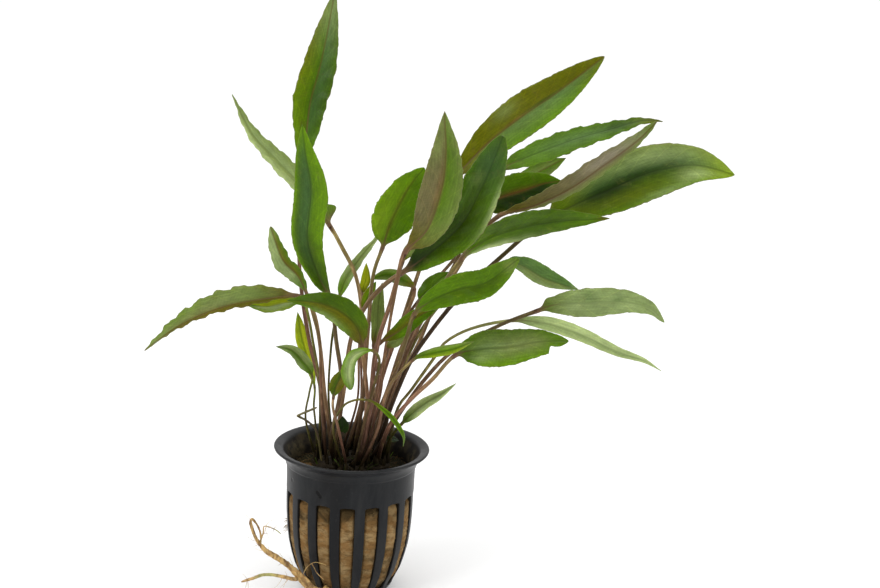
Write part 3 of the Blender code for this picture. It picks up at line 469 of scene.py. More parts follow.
class StageSettings(bpy.types.PropertyGroup):
    """Floor, lights and camera."""
    floor: colour_property("Floor", "Colour of the floor", (0.93, 0.93, 0.93))
    floor_size: FloatProperty(name="Floor Size", description="Side of the floor", default=14.0,
                              unit="LENGTH")
    sky: FloatProperty(name="Sky", description="Strength of the light from overhead", default=1.2, min=0.0)
    horizon: FloatProperty(name="Horizon", description="Strength of the light from the sides", default=0.14,
                           min=0.0)
    key: FloatProperty(name="Key", description="Power of the large light on the left", default=6.0,
                       subtype="POWER", unit="POWER", min=0.0)
    fill: FloatProperty(name="Fill", description="Power of the large light on the right", default=3.5,
                        subtype="POWER", unit="POWER", min=0.0)
    distance: FloatProperty(name="Distance", description="Camera to the middle of the plant", default=0.70,
                            unit="LENGTH")
    pitch: FloatProperty(name="Pitch", description="How far the camera looks down",
                         default=math.radians(14.57), subtype="ANGLE")
    roll: FloatProperty(name="Roll", description="How far the camera leans", default=math.radians(2.64),
                        subtype="ANGLE")
    lens: FloatProperty(name="Lens", description="Focal length", default=84.1, subtype="DISTANCE_CAMERA")


# Node trees

class Tree:
    """A node tree that nodes are added to from left to right."""

    def __init__(self, tree):
        self.tree = tree
        self.column = 0

    def node(self, kind, inputs=None, **settings):
        """Add a node, with its inputs linked or set."""
        node = self.tree.nodes.new(kind)
        node.location = (self.column * 190, -120 * (self.column % 3))
        self.column += 1
        for key, value in settings.items():
            setattr(node, key, value)
        for key, value in (inputs or {}).items():
            self.feed(node.inputs[key], value)
        return node

    def feed(self, socket, value):
        """Link a socket to another, or set it."""
        if isinstance(value, bpy.types.NodeSocket):
            self.tree.links.new(value, socket)
        else:
            socket.default_value = value

    def math(self, operation, *values, clamp=False):
        """Result of a Math node."""
        node = self.node("ShaderNodeMath", dict(enumerate(values)), operation=operation, use_clamp=clamp)
        return node.outputs[0]

    def times(self, first, second, clamp=False):
        """Product of two values."""
        return self.math("MULTIPLY", first, second, clamp=clamp)

    def plus(self, first, second, clamp=False):
        """Sum of two values."""
        return self.math("ADD", first, second, clamp=clamp)

    def mix(self, factor, first, second, blend="MIX"):
        """Colour between two others."""
        node = self.node("ShaderNodeMix", data_type="RGBA", blend_type=blend)
        self.feed(node.inputs[0], factor)
        self.feed(node.inputs[6], first)
        self.feed(node.inputs[7], second)
        return node.outputs[2]

    def remap(self, value, low, high, to_low=0.0, to_high=1.0):
        """Value stretched from one range to another, smoothly, and held within it."""
        node = self.node("ShaderNodeMapRange", interpolation_type="SMOOTHSTEP")
        for index, number in enumerate((value, low, high, to_low, to_high)):
            self.feed(node.inputs[index], number)
        return node.outputs[0]

    def value(self, name):
        """A value that the mesh gives for each of its points."""
        return self.node("ShaderNodeAttribute", attribute_name=name).outputs["Fac"]

    def paint(self, name):
        """A colour that the mesh gives for each of its points."""
        return self.node("ShaderNodeAttribute", attribute_name=name).outputs["Color"]

    def brighten(self, colour, value):
        """Colour made lighter or darker by a factor."""
        return self.node("ShaderNodeHueSaturation", {"Color": colour, "Value": value}).outputs[0]

    def distance(self, place, point):
        """Distance in metres from a point that is given in millimetres."""
        ends = {0: place, 1: tuple(v * MM for v in point)}
        return self.node("ShaderNodeVectorMath", ends, operation="DISTANCE").outputs["Value"]

    def noise(self, vector, scale, detail=3.0, roughness=0.55, distortion=0.0):
        """Noise value from 0 to 1."""
        node = self.node("ShaderNodeTexNoise", {"Vector": vector, "Scale": scale, "Detail": detail,
                                                "Roughness": roughness, "Distortion": distortion})
        return node.outputs["Fac"]

    def place(self, stretch=(1.0, 1.0, 1.0)):
        """Coordinates on the object itself, stretched along its axes."""
        coordinates = self.node("ShaderNodeTexCoord").outputs["Object"]
        mapping = self.node("ShaderNodeMapping", {"Vector": coordinates})
        mapping.inputs["Scale"].default_value = stretch
        return mapping.outputs[0]

    def group(self, name, **inputs):
        """One of the shared groups, placed with its own values. An underscore stands for a space."""
        node = self.node("ShaderNodeGroup")
        node.node_tree = bpy.data.node_groups[name]
        for key, value in inputs.items():
            self.feed(node.inputs[key.replace("_", " ")], value)
        return node.outputs


def rgba(colour):
    """Colour with full alpha."""
    return (*colour, 1.0)


def new_group(name, inputs, outputs):
    """Start a shader node group from rows of socket name, kind and default: its tree, inputs and outputs."""
    group = bpy.data.node_groups.new(name, "ShaderNodeTree")
    for label, kind, default in inputs:
        socket = group.interface.new_socket(name=label, in_out="INPUT", socket_type=kind)
        socket.default_value = default
    for label, kind in outputs:
        group.interface.new_socket(name=label, in_out="OUTPUT", socket_type=kind)
    tree = Tree(group)
    start = tree.node("NodeGroupInput").outputs
    return tree, start, tree.node("NodeGroupOutput").inputs


COLOUR = "NodeSocketColor"
NUMBER = "NodeSocketFloat"


def mottling_group():
    """Mottling: uneven colour in two sizes of patches, such as living tissue has."""
    tree, start, end = new_group(
        "Mottling",
        (("Colour", COLOUR, (0.5, 0.5, 0.5, 1.0)), ("Patch Colour", COLOUR, (0.3, 0.3, 0.1, 1.0)),
         ("Scale", NUMBER, 60.0), ("Amount", NUMBER, 0.3), ("Patches", NUMBER, 0.2)),
        (("Colour", COLOUR), ("Mask", NUMBER)))
    place = tree.place()
    broad = tree.noise(place, start["Scale"], 4.0, 0.6)
    fine = tree.noise(place, tree.times(start["Scale"], 7.0), 3.0, 0.6)
    both = tree.plus(tree.times(broad, 0.7), tree.times(fine, 0.3))
    swing = tree.times(tree.math("SUBTRACT", both, 0.5), tree.times(start["Amount"], 4.0))
    value = tree.plus(swing, 1.0)
    shaded = tree.brighten(start["Colour"], value)
    patches = tree.noise(place, tree.times(start["Scale"], 2.3), 5.0, 0.7, 0.8)
    mask = tree.times(tree.remap(patches, 0.56, 0.7), start["Patches"], clamp=True)
    tree.feed(end["Colour"], tree.mix(mask, shaded, start["Patch Colour"]))
    tree.feed(end["Mask"], mask)


def vein_group():
    """Veins: side veins that slant forward from the midrib, with finer cross veins between them."""
    tree, start, end = new_group(
        "Leaf veins",
        (("Reach", NUMBER, 0.0), ("Offset", NUMBER, 0.0), ("Spacing", NUMBER, 5.0), ("Slant", NUMBER, 1.3),
         ("Width", NUMBER, 0.06)),
        (("Side Veins", NUMBER), ("Cross Veins", NUMBER), ("Streaks", NUMBER), ("Height", NUMBER)))
    out = tree.math("ABSOLUTE", start["Offset"])
    wander = tree.noise(tree.place(), 220.0, 2.0)
    bent = tree.math("POWER", out, 0.82)
    forward = tree.math("SUBTRACT", start["Reach"], tree.times(bent, start["Slant"]))
    phase = tree.plus(tree.math("DIVIDE", forward, start["Spacing"]), tree.times(wander, 0.35))
    across = tree.math("PINGPONG", phase, 0.5)
    side = tree.remap(across, 0.0, start["Width"], 1.0, 0.0)
    back = tree.plus(start["Reach"], tree.times(out, 0.55))
    cross_phase = tree.plus(tree.math("DIVIDE", back, 1.15), tree.times(wander, 1.3))
    cross = tree.remap(tree.math("PINGPONG", cross_phase, 0.5), 0.0, 0.17, 1.0, 0.0)
    rise = tree.times(across, 2.0, clamp=True)
    height = tree.math("SUBTRACT", rise, tree.times(cross, 0.18))
    # Streaks: noise drawn out along the blade, which the leaf material uses for fine grain with painted sheen
    # on blades and for painted highlights on stalks
    grain = tree.node("ShaderNodeCombineXYZ", {"X": start["Offset"], "Y": tree.times(start["Reach"], 0.09)})
    tree.feed(end["Streaks"], tree.noise(grain.outputs[0], 1.9, 5.0, 0.6))
    tree.feed(end["Side Veins"], side)
    tree.feed(end["Cross Veins"], cross)
    tree.feed(end["Height"], height)


def fibre_group():
    """Fibres: matted strands, mostly lying level, lighter on their crests."""
    tree, start, end = new_group(
        "Matted fibres",
        (("Light", COLOUR, (0.6, 0.5, 0.3, 1.0)), ("Middle", COLOUR, (0.3, 0.2, 0.1, 1.0)),
         ("Dark", COLOUR, (0.05, 0.04, 0.02, 1.0)), ("Scale", NUMBER, 120.0), ("Darkness", NUMBER, 0.0)),
        (("Colour", COLOUR), ("Height", NUMBER)))
    level = tree.place((1.0, 1.0, 2.2))
    plain = tree.place()
    strands = tree.noise(level, tree.times(start["Scale"], 3.0), 6.0, 0.7, 0.5)
    layers = tree.noise(level, start["Scale"], 4.0, 0.6, 0.4)
    patches = tree.noise(plain, tree.times(start["Scale"], 0.8), 5.0, 0.62, 0.6)
    warm = tree.mix(tree.remap(layers, 0.4, 0.62), start["Middle"], start["Light"])
    shaded = tree.mix(tree.remap(strands, 0.34, 0.52, 0.5, 0.0), warm, start["Dark"])
    dark = tree.plus(tree.remap(patches, 0.5, 0.68, 0.0, 0.6), start["Darkness"], clamp=True)
    tree.feed(end["Colour"], tree.mix(dark, shaded, start["Dark"]))
    tree.feed(end["Height"], tree.plus(strands, tree.times(layers, 0.7)))


def film_group():
    """Film: dried water marks and scuffs that dull a surface in patches and on its raised edges."""
    tree, start, end = new_group(
        "Dried film",
        (("Colour", COLOUR, (0.02, 0.02, 0.02, 1.0)), ("Film Colour", COLOUR, (0.1, 0.1, 0.1, 1.0)),
         ("Roughness", NUMBER, 0.4), ("Amount", NUMBER, 0.5), ("Scale", NUMBER, 60.0),
         ("Edge", NUMBER, 0.0)),
        (("Colour", COLOUR), ("Roughness", NUMBER), ("Height", NUMBER)))
    place = tree.place()
    runs = tree.noise(tree.place((1.0, 1.0, 0.35)), start["Scale"], 6.0, 0.68, 0.5)
    specks = tree.noise(place, tree.times(start["Scale"], 12.0), 2.0, 0.5)
    film = tree.times(tree.remap(runs, 0.42, 0.72), start["Amount"])
    speckled = tree.times(tree.remap(specks, 0.6, 0.72), 0.35)
    mask = tree.plus(tree.plus(film, tree.times(speckled, start["Amount"])),
                     tree.times(start["Edge"], 0.8), clamp=True)
    tree.feed(end["Colour"], tree.mix(mask, start["Colour"], start["Film Colour"]))
    rougher = tree.plus(start["Roughness"], tree.times(mask, 0.3))
    tree.feed(end["Roughness"], tree.plus(rougher, tree.times(specks, 0.08), clamp=True))
    tree.feed(end["Height"], specks)


GROUPS = {"Mottling": mottling_group, "Leaf veins": vein_group, "Matted fibres": fibre_group,
          "Dried film": film_group}


def shared_groups():
    """Build the shader node groups once."""
    for name, build in GROUPS.items():
        if name not in bpy.data.node_groups:
            build()


def start_material(name):
    """New material with its Principled shader: gives the material, its tree and the shader's inputs."""
    shared_groups()
    material = bpy.data.materials.new(name)
    material.use_nodes = True
    shader = material.node_tree.nodes["Principled BSDF"]
    shader.location = (3600, 0)
    return material, Tree(material.node_tree), shader.inputs


def bump(tree, height, strength, distance):
    """Normal from a height, in millimetres."""
    node = tree.node("ShaderNodeBump", {"Height": height})
    node.inputs["Strength"].default_value = strength
    node.inputs["Distance"].default_value = distance * MM
    return node.outputs[0]


# Meshes

def make_piece(name, points, faces, material, values=None, colours=None, sharp=None):
    """Mesh object from arrays, points in millimetres, with its values and colours as attributes."""
    mesh = bpy.data.meshes.new(name)
    mesh.from_pydata((np.asarray(points) * MM).tolist(), [], faces)
    mesh.validate()
    for key, array in (values or {}).items():
        layer = mesh.attributes.new(key, "FLOAT", "POINT")
        layer.data.foreach_set("value", np.asarray(array, dtype=np.float32))
    for key, array in (colours or {}).items():
        layer = mesh.attributes.new(key, "FLOAT_COLOR", "POINT")
        full = np.ones((len(points), 4), dtype=np.float32)
        full[:, :3] = array
        layer.data.foreach_set("color", full.ravel())
    mesh.shade_smooth()
    if sharp:
        mesh.set_sharp_from_angle(angle=math.radians(sharp))
    mesh.materials.append(material)
    thing = bpy.data.objects.new(name, mesh)
    bpy.context.scene.collection.objects.link(thing)
    return thing


def settle(thing, slot, *nodes):
    """Ride the piece on the plant's body, in place of its solids."""
    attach(thing, BODY)
    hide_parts(*nodes)


def spline_at(points, positions):
    """Points of the smooth curve through the given points, at positions counted in spans."""
    points = np.asarray(points, dtype=float)
    padded = np.vstack((points[0] * 2 - points[1], points, points[-1] * 2 - points[-2]))
    span = np.clip(np.floor(positions).astype(int), 0, len(points) - 2)
    t = (positions - span)[:, None]
    before, first, second, after = (padded[span + i] for i in range(4))
    return 0.5 * (2 * first + (second - before) * t + (2 * before - 5 * first + 4 * second - after) * t ** 2
                  + (3 * first - before - 3 * second + after) * t ** 3)


def lengthwise(points, start, end, fractions):
    """Points and distances at the given fractions of the length between two spans' ends."""
    positions = np.linspace(start, end, SPAN_SAMPLES * (end - start) + 1)
    line = spline_at(points, positions)
    lengths = np.concatenate(((0.0,), np.cumsum(np.linalg.norm(np.diff(line, axis=0), axis=1))))
    wanted = np.asarray(fractions) * lengths[-1]
    found = spline_at(points, np.interp(wanted, lengths, positions))
    return found, wanted


def directions(line):
    """Unit direction along a line at each of its points."""
    along = np.gradient(line, axis=0)
    return along / np.linalg.norm(along, axis=1)[:, None]


def smooth(values, low, high):
    """Smooth step from 0 at low to 1 at high."""
    t = np.clip((np.asarray(values, dtype=float) - low) / (high - low), 0.0, 1.0)
    return t * t * (3 - 2 * t)


def tube_rings(line, radii, sides, phase=0.0):
    """Rings of points round a line, turned as little as possible from one to the next."""
    along = directions(line)
    side = np.cross(along[0], (0.0, 0.0, 1.0))
    if np.linalg.norm(side) < 0.2:
        side = np.cross(along[0], (1.0, 0.0, 0.0))
    rings = []
    angles = np.arange(sides) * 2 * math.pi / sides + phase
    for point, direction, radius in zip(line, along, radii):
        side = side - direction * side.dot(direction)
        side = side / np.linalg.norm(side)
        up = np.cross(direction, side)
        rings.append(point + radius * (np.cos(angles)[:, None] * side + np.sin(angles)[:, None] * up))
    return np.array(rings)


def ring_faces(rings, sides, first=0, caps=True):
    """Faces of a tube whose rings follow each other in a list of points."""
    faces = []
    for ring in range(rings - 1):
        low = first + ring * sides
        for i in range(sides):
            j = (i + 1) % sides
            faces.append((low + i, low + j, low + sides + j, low + sides + i))
    if caps:
        faces.append(tuple(first + i for i in reversed(range(sides))))
        faces.append(tuple(first + (rings - 1) * sides + i for i in range(sides)))
    return faces


class Strands:
    """Many thin tubes and other bodies gathered into one mesh, with a shade from 0 to 1 for each."""

    def __init__(self):
        self.points = []
        self.faces = []
        self.shades = []
        self.count = 0

    def add(self, line, radius, shade, sides=3, taper=0.4):
        """Add one strand that thins towards its end."""
        line = np.asarray(line, dtype=float)
        radii = radius * np.linspace(1.0, taper, len(line))
        points = tube_rings(line, radii, sides).reshape(-1, 3)
        self.include(points, ring_faces(len(line), sides, self.count), [shade] * len(points))

    def include(self, points, faces, shades):
        """Add points with their shades, and faces numbered from the points before them."""
        self.points.append(np.asarray(points))
        self.faces += faces
        self.shades += shades
        self.count += len(points)

    def piece(self, name, material, **values):
        """Make everything gathered one mesh object."""
        return make_piece(name, np.vstack(self.points), self.faces, material,
                          {"shade": self.shades, **values})


# Leaves

def blade_shape(t, belly, tip=SHAPE_TIP):
    """Blade's width at t along it, as a share of the widest, which it reaches at belly."""
    rising = np.sin(math.pi / 2 * np.clip(t / belly, 0.0, 1.0)) ** SHAPE_BASE
    falling = np.cos(math.pi / 2 * np.clip((t - belly) / (1.0 - belly), 0.0, 1.0)) ** tip
    return np.where(t < belly, rising, falling)


def turned_frame(along, turns):
    """Facing and across directions at each point of a leaf, its upper face turned about the midrib."""
    front = np.array((0.0, -1.0, 0.0))
    facing = front - along * (along @ front)[:, None]
    facing = facing / np.linalg.norm(facing, axis=1)[:, None]
    angle = np.radians(turns)[:, None]
    facing = facing * np.cos(angle) + np.cross(along, facing) * np.sin(angle)
    return facing, np.cross(facing, along)


def palette(colours, name):
    """Colour of that name in the settings."""
    return np.array(getattr(colours, name))


def blade_colours(paint, patches, colours, u, t, under):
    """Colour at each point of a blade: u across it, t along it, under 1 on the face turned away."""
    # The across colours hold painted light and shade as well as each leaf's own colour
    stops = [palette(colours, name) for name in paint.across.split()]
    tint = np.stack([np.interp(u, ACROSS_STOPS, [stop[i] for stop in stops]) for i in range(3)], axis=-1)
    for name, share in ((paint.neck, 1.0 - smooth(t, 0.04, 0.34)), (paint.tip, smooth(t, 0.72, 1.0) * 0.7)):
        tint = tint + (palette(colours, name) - tint) * share[..., None]
    # Patches: the leaf's own markings, painted sheen highlights and painted shade
    for along, aside, length, width, name, strength in patches:
        spread = np.exp(-((t - along) / length) ** 2 - ((u - aside) / width) ** 2) * strength
        tint = tint + (palette(colours, name) - tint) * spread[..., None]
    lower = palette(colours, "underside")
    return tint + (lower * 0.75 + tint * 0.25 - tint) * under[..., None]


def margin_waves(leaf, settings, chance, u, reach, calm):
    """How far a blade lifts in ruffles, and its crinkled outline as a share of the plain one."""
    own_ruffle = PAINTS[leaf.name].ruffle
    wave = settings.wave / MM
    ruffle = settings.ruffle / MM * own_ruffle * min(1.0, 0.35 + leaf.width / 14)
    lift = np.zeros((len(reach), len(u)))
    outline = np.ones((len(reach), len(u)))
    for sign in (-1, 1):
        side = np.where(np.sign(u) == sign, 1.0, 0.0)[None, :]
        first, second = chance.uniform(0, 6.3), chance.uniform(0, 6.3)
        drift = 0.9 * np.sin(reach / chance.uniform(9, 14) + chance.uniform(0, 6))
        long_wave = np.sin(reach * 2 * math.pi / wave + first + drift)
        short_wave = np.sin(reach * 2 * math.pi / (wave * 0.43) + second + drift * 1.7)
        strength = 0.55 + 0.55 * np.sin(reach / chance.uniform(3, 5) + chance.uniform(0, 6)) ** 2
        margin = (long_wave * strength + 0.45 * short_wave) * calm * ruffle
        lift += side * margin[:, None] * np.abs(u)[None, :] ** 2.4
        crinkle = settings.crinkle * own_ruffle * strength * sum(
            share * np.sin(reach * 2 * math.pi / (wave * part) + first * part * 9)
            for share, part in ((0.5, 0.61), (0.45, 0.29), (0.4, 0.17)))
        outline += side * (crinkle * calm)[:, None] * np.abs(u)[None, :] ** 3
    return lift, outline


def reshape_outline(leaf, outline, u, t):
    """Tear a blade's outline, narrow one half or add a lobe, where this leaf has it."""
    if leaf.name in TORN:
        sign, place, keep = TORN[leaf.name]
        outline *= np.where(np.sign(u) == sign, 1.0, 0.0) * (
            np.interp(t, (0.0, place - 0.2, place, place + 0.012, place + 0.1, 1.0),
                      (1.0, 1.0, 1.25, keep, 1.0, 1.0)) - 1.0)[:, None] + 1.0
    sign, share = UNEVEN.get(leaf.name, (1, 1.0))
    outline *= np.where(np.sign(u) == sign, share, 1.0)
    if leaf.name in LOBED:
        sign, place, spread, size = LOBED[leaf.name]
        lobe = np.exp(-((t - place) / spread) ** 2)[:, None]
        outline *= 1.0 + np.where(np.sign(u) == sign, size, 0.0) * lobe


def leaf_arrays(leaf, number, settings, colours):
    """Rings of points for one leaf from foot to tip, with the values and colours its material reads."""
    chance = random.Random(number * 17 + 5)
    paint = PAINTS[leaf.name]
    route = [(*leaf.root, STALK_FOOT)] + list(leaf.stalk) + list(leaf.blade)
    neck = len(leaf.stalk)
    top_count = len(ACROSS)
    sides = 2 * top_count - 2
    stalk_fractions = np.linspace(0, 1, settings.stalk_steps + 1)[:-1]
    stalk_line, stalk_reach = lengthwise(route, 0, neck, stalk_fractions)
    steps = settings.blade_steps if leaf.width > 5 else settings.blade_steps * 2 // 3
    t = 0.5 - 0.5 * np.cos(np.linspace(0.0, math.pi, steps + 1)[:-1] * RING_EASE)
    t = t / t[-1] * LAST_RING
    blade_line, reach = lengthwise(route, neck, len(route) - 1, t)
    line = np.vstack((stalk_line, blade_line))
    along = directions(line)
    neck_turn, tip_turn = leaf.turn
    blade_turns = neck_turn + (tip_turn - neck_turn) * t
    facing, across = turned_frame(along, np.concatenate((np.full(len(stalk_line), neck_turn), blade_turns)))

    # Stalk: a round tube, wider in its sheath at the foot, with slight swellings
    s = stalk_reach / max(stalk_reach[-1], 1.0)
    sheath = np.exp(-stalk_reach / 5.0)
    swell = 1.0 + 0.05 * np.sin(stalk_reach / chance.uniform(3.5, 6.0) + chance.uniform(0, 6))
    stalk_radius = leaf.radius * 0.82 * swell * (1.0 + settings.sheath_growth * sheath)
    upper_half, lower_half = np.linspace(math.pi, 0.0, top_count), np.linspace(0.0, -math.pi, top_count)
    angles = np.concatenate((upper_half, lower_half[1:-1]))
    rounds = (np.cos(angles)[None, :, None] * across[:, None, :]
              + np.sin(angles)[None, :, None] * facing[:, None, :])
    rings = stalk_line[:, None, :] + rounds[:len(s)] * stalk_radius[:, None, None]

    # Blade: an upper and a lower face that meet in a ruffled margin
    u = np.concatenate((ACROSS, ACROSS[-2:0:-1]))
    under = np.concatenate((np.zeros(top_count), np.ones(top_count - 2)))
    under[0] = under[top_count - 1] = 0.4
    midrib = leaf.radius * (1.0 - 0.78 * t ** 0.6)
    shape = blade_shape(t, leaf.belly, BLUNT.get(leaf.name, SHAPE_TIP))
    half = np.maximum(midrib * 0.9, shape * SLIM.get(leaf.name, 1.0) * leaf.width / 2)
    calm = np.sin(math.pi * np.clip(t * 0.96 + 0.02, 0, 1)) ** 0.55
    lift, outline = margin_waves(leaf, settings, chance, u, reach, calm)
    reshape_outline(leaf, outline, u, t)
    offset = u[None, :] * half[:, None] * outline
    slanted = reach[:, None] - settings.vein_slant * np.abs(offset) ** 0.82
    phase = slanted / (settings.vein_spacing / MM)
    pucker = settings.pucker / MM * np.cos(2 * math.pi * phase) * (1 - np.abs(u) ** 4)[None, :]
    lift -= pucker * smooth(np.abs(offset), 0.5, 2.2) * calm[:, None]
    lift += (0.35 * np.sin(reach / chance.uniform(5, 8) + chance.uniform(0, 6)) * calm)[:, None]
    fold = math.radians(leaf.fold) * smooth(t, 0.0, 0.12)[:, None]
    bend = np.abs(u)[None, :] ** 1.25 * half[:, None]
    thinning = (settings.edge_thickness - settings.thickness) / MM * np.abs(u) ** 3
    skin = (settings.thickness / MM + thinning) * (1 - np.abs(u) ** 12) / 2
    ridge = np.exp(-(offset / (midrib[:, None] * 0.75 + 0.05)) ** 2)
    upper_face = skin - ridge * midrib[:, None] * 0.32
    lower_face = -skin - ridge * midrib[:, None] * 0.95
    raised = np.where(under > 0.5, lower_face, upper_face)
    raised[:, 0] = raised[:, top_count - 1] = 0.0
    out = offset * np.cos(fold)
    up = bend * np.sin(fold) + lift + raised
    blade = (blade_line[:, None, :] + out[:, :, None] * across[len(s):, None, :]
             + up[:, :, None] * facing[len(s):, None, :])
    stem = blade_line[:, None, :] + rounds[len(s):] * (leaf.radius * (1.0 - 0.35 * t))[:, None, None]
    flat = smooth(t, 0.0, 0.11)[:, None, None]
    rings = np.concatenate((rings, stem + (blade - stem) * flat))

    # Colours of the stalk, the blade and its midrib
    stalk_colour = palette(colours, paint.stalk)
    greener = palette(colours, "stalk_green") - stalk_colour
    stalk_colour = stalk_colour + greener * (0.5 * chance.random() ** 2.2)
    foot_colour, neck_colour = palette(colours, "sheath"), palette(colours, paint.neck)
    stalk_tint = stalk_colour + (neck_colour - stalk_colour) * 0.25 * smooth(s, 0.5, 1.0)[:, None]
    stalk_tint = stalk_tint + (foot_colour - stalk_tint) * smooth(sheath, 0.15, 0.9)[:, None]
    # Painted shade: each stalk is darkened towards its foot down in the pot, and each whole stalk is painted
    # lighter or darker at random for stalks in light and in shade
    daylight = smooth(stalk_line[:, 2], STALK_FOOT, STALK_FOOT + 25)
    painted_shading = chance.uniform(0.65, 1.6) * (0.11 + 0.87 * daylight)
    stalk_tint = stalk_tint * painted_shading[:, None]
    turned_away = 1 - under if abs(neck_turn) > 90 else under
    tint = blade_colours(paint, PATCHES.get(leaf.name, ()), colours, np.broadcast_to(u, offset.shape),
                         np.broadcast_to(t[:, None], offset.shape),
                         np.broadcast_to(turned_away, offset.shape))
    tint = tint + (stalk_colour * 0.85 - tint) * (1 - flat)
    rib = tint * (0.86 if leaf.tone == PALE else 0.7)
    reddish = 0.22
    if leaf.tone in (OLIVE, BRONZE):
        rib = rib * 0.7 + palette(colours, "russet") * 0.3
        reddish = 0.45
    rib = rib + (stalk_colour * 0.8 - rib) * (0.8 * (1 - smooth(t, 0.02, reddish)))[:, None, None]
    stalk_tints = np.broadcast_to(stalk_tint[:, None, :], (len(s), sides, 3))

    # Values for the material, over stalk and blade
    bare = np.zeros((len(s), sides))
    whole = np.concatenate((np.cos(angles)[None, :] * stalk_radius[:, None], offset))
    reach_whole = np.concatenate((stalk_reach - stalk_reach[-1] - 2.0, reach))
    return {
        "rings": rings,
        "tip": np.array(route[-1], dtype=float),
        "tint": np.concatenate((stalk_tints, tint)),
        "rib": np.concatenate((stalk_tints, rib)),
        "offset": whole,
        "reach": np.broadcast_to(reach_whole[:, None], whole.shape),
        "blade": np.concatenate((bare, np.broadcast_to(flat[:, :, 0], offset.shape))),
        "under": np.broadcast_to(under, (len(line), sides)),
        "edge": np.concatenate((bare, np.broadcast_to(np.abs(u), offset.shape))),
    }


def build_leaf(leaf, number, settings, colours, material):
    """One leaf as a closed mesh that replaces its solid."""
    arrays = leaf_arrays(leaf, number, settings, colours)
    rings = arrays["rings"]
    count, sides = rings.shape[:2]
    points = np.vstack((rings.reshape(-1, 3), arrays["tip"]))
    faces = [face[::-1] for face in ring_faces(count, sides, caps=False)]
    faces.append(tuple(range(sides)))
    last = (count - 1) * sides
    tip = count * sides
    for i in range(sides):
        faces.append((last + (i + 1) % sides, last + i, tip))
    values = {}
    for key in ("offset", "reach", "blade", "under", "edge"):
        flat = np.asarray(arrays[key]).reshape(-1)
        values[key] = np.append(flat, flat[-1])
    paints = {}
    for key in ("tint", "rib"):
        flat = arrays[key].reshape(-1, 3)
        paints[key] = np.vstack((flat, flat[-1]))
    leaf_object = make_piece(leaf.name + "_fine", points, faces, material, values, paints)
    settle(leaf_object, leaf.tone, leaf.name)


# Roughness, gloss coat, how strongly light shows through, how strongly veins show, and patch colour
LeafFinish = namedtuple("LeafFinish", "roughness coat glow veins patches patch_colour")
FINISHES = {
    "leaf_dark_green": LeafFinish(0.34, 0.05, 0.05, 0.55, 0.22, (0.12, 0.13, 0.03)),
    "leaf_bright_green": LeafFinish(0.40, 0.03, 0.08, 0.50, 0.16, (0.20, 0.22, 0.02)),
    "leaf_olive": LeafFinish(0.42, 0.03, 0.05, 0.55, 0.34, (0.10, 0.075, 0.015)),
    "leaf_pale": LeafFinish(0.52, 0.02, 0.05, 0.50, 0.22, (0.16, 0.12, 0.045)),
    "leaf_bronze": LeafFinish(0.46, 0.03, 0.05, 0.50, 0.25, (0.14, 0.10, 0.05)),
}


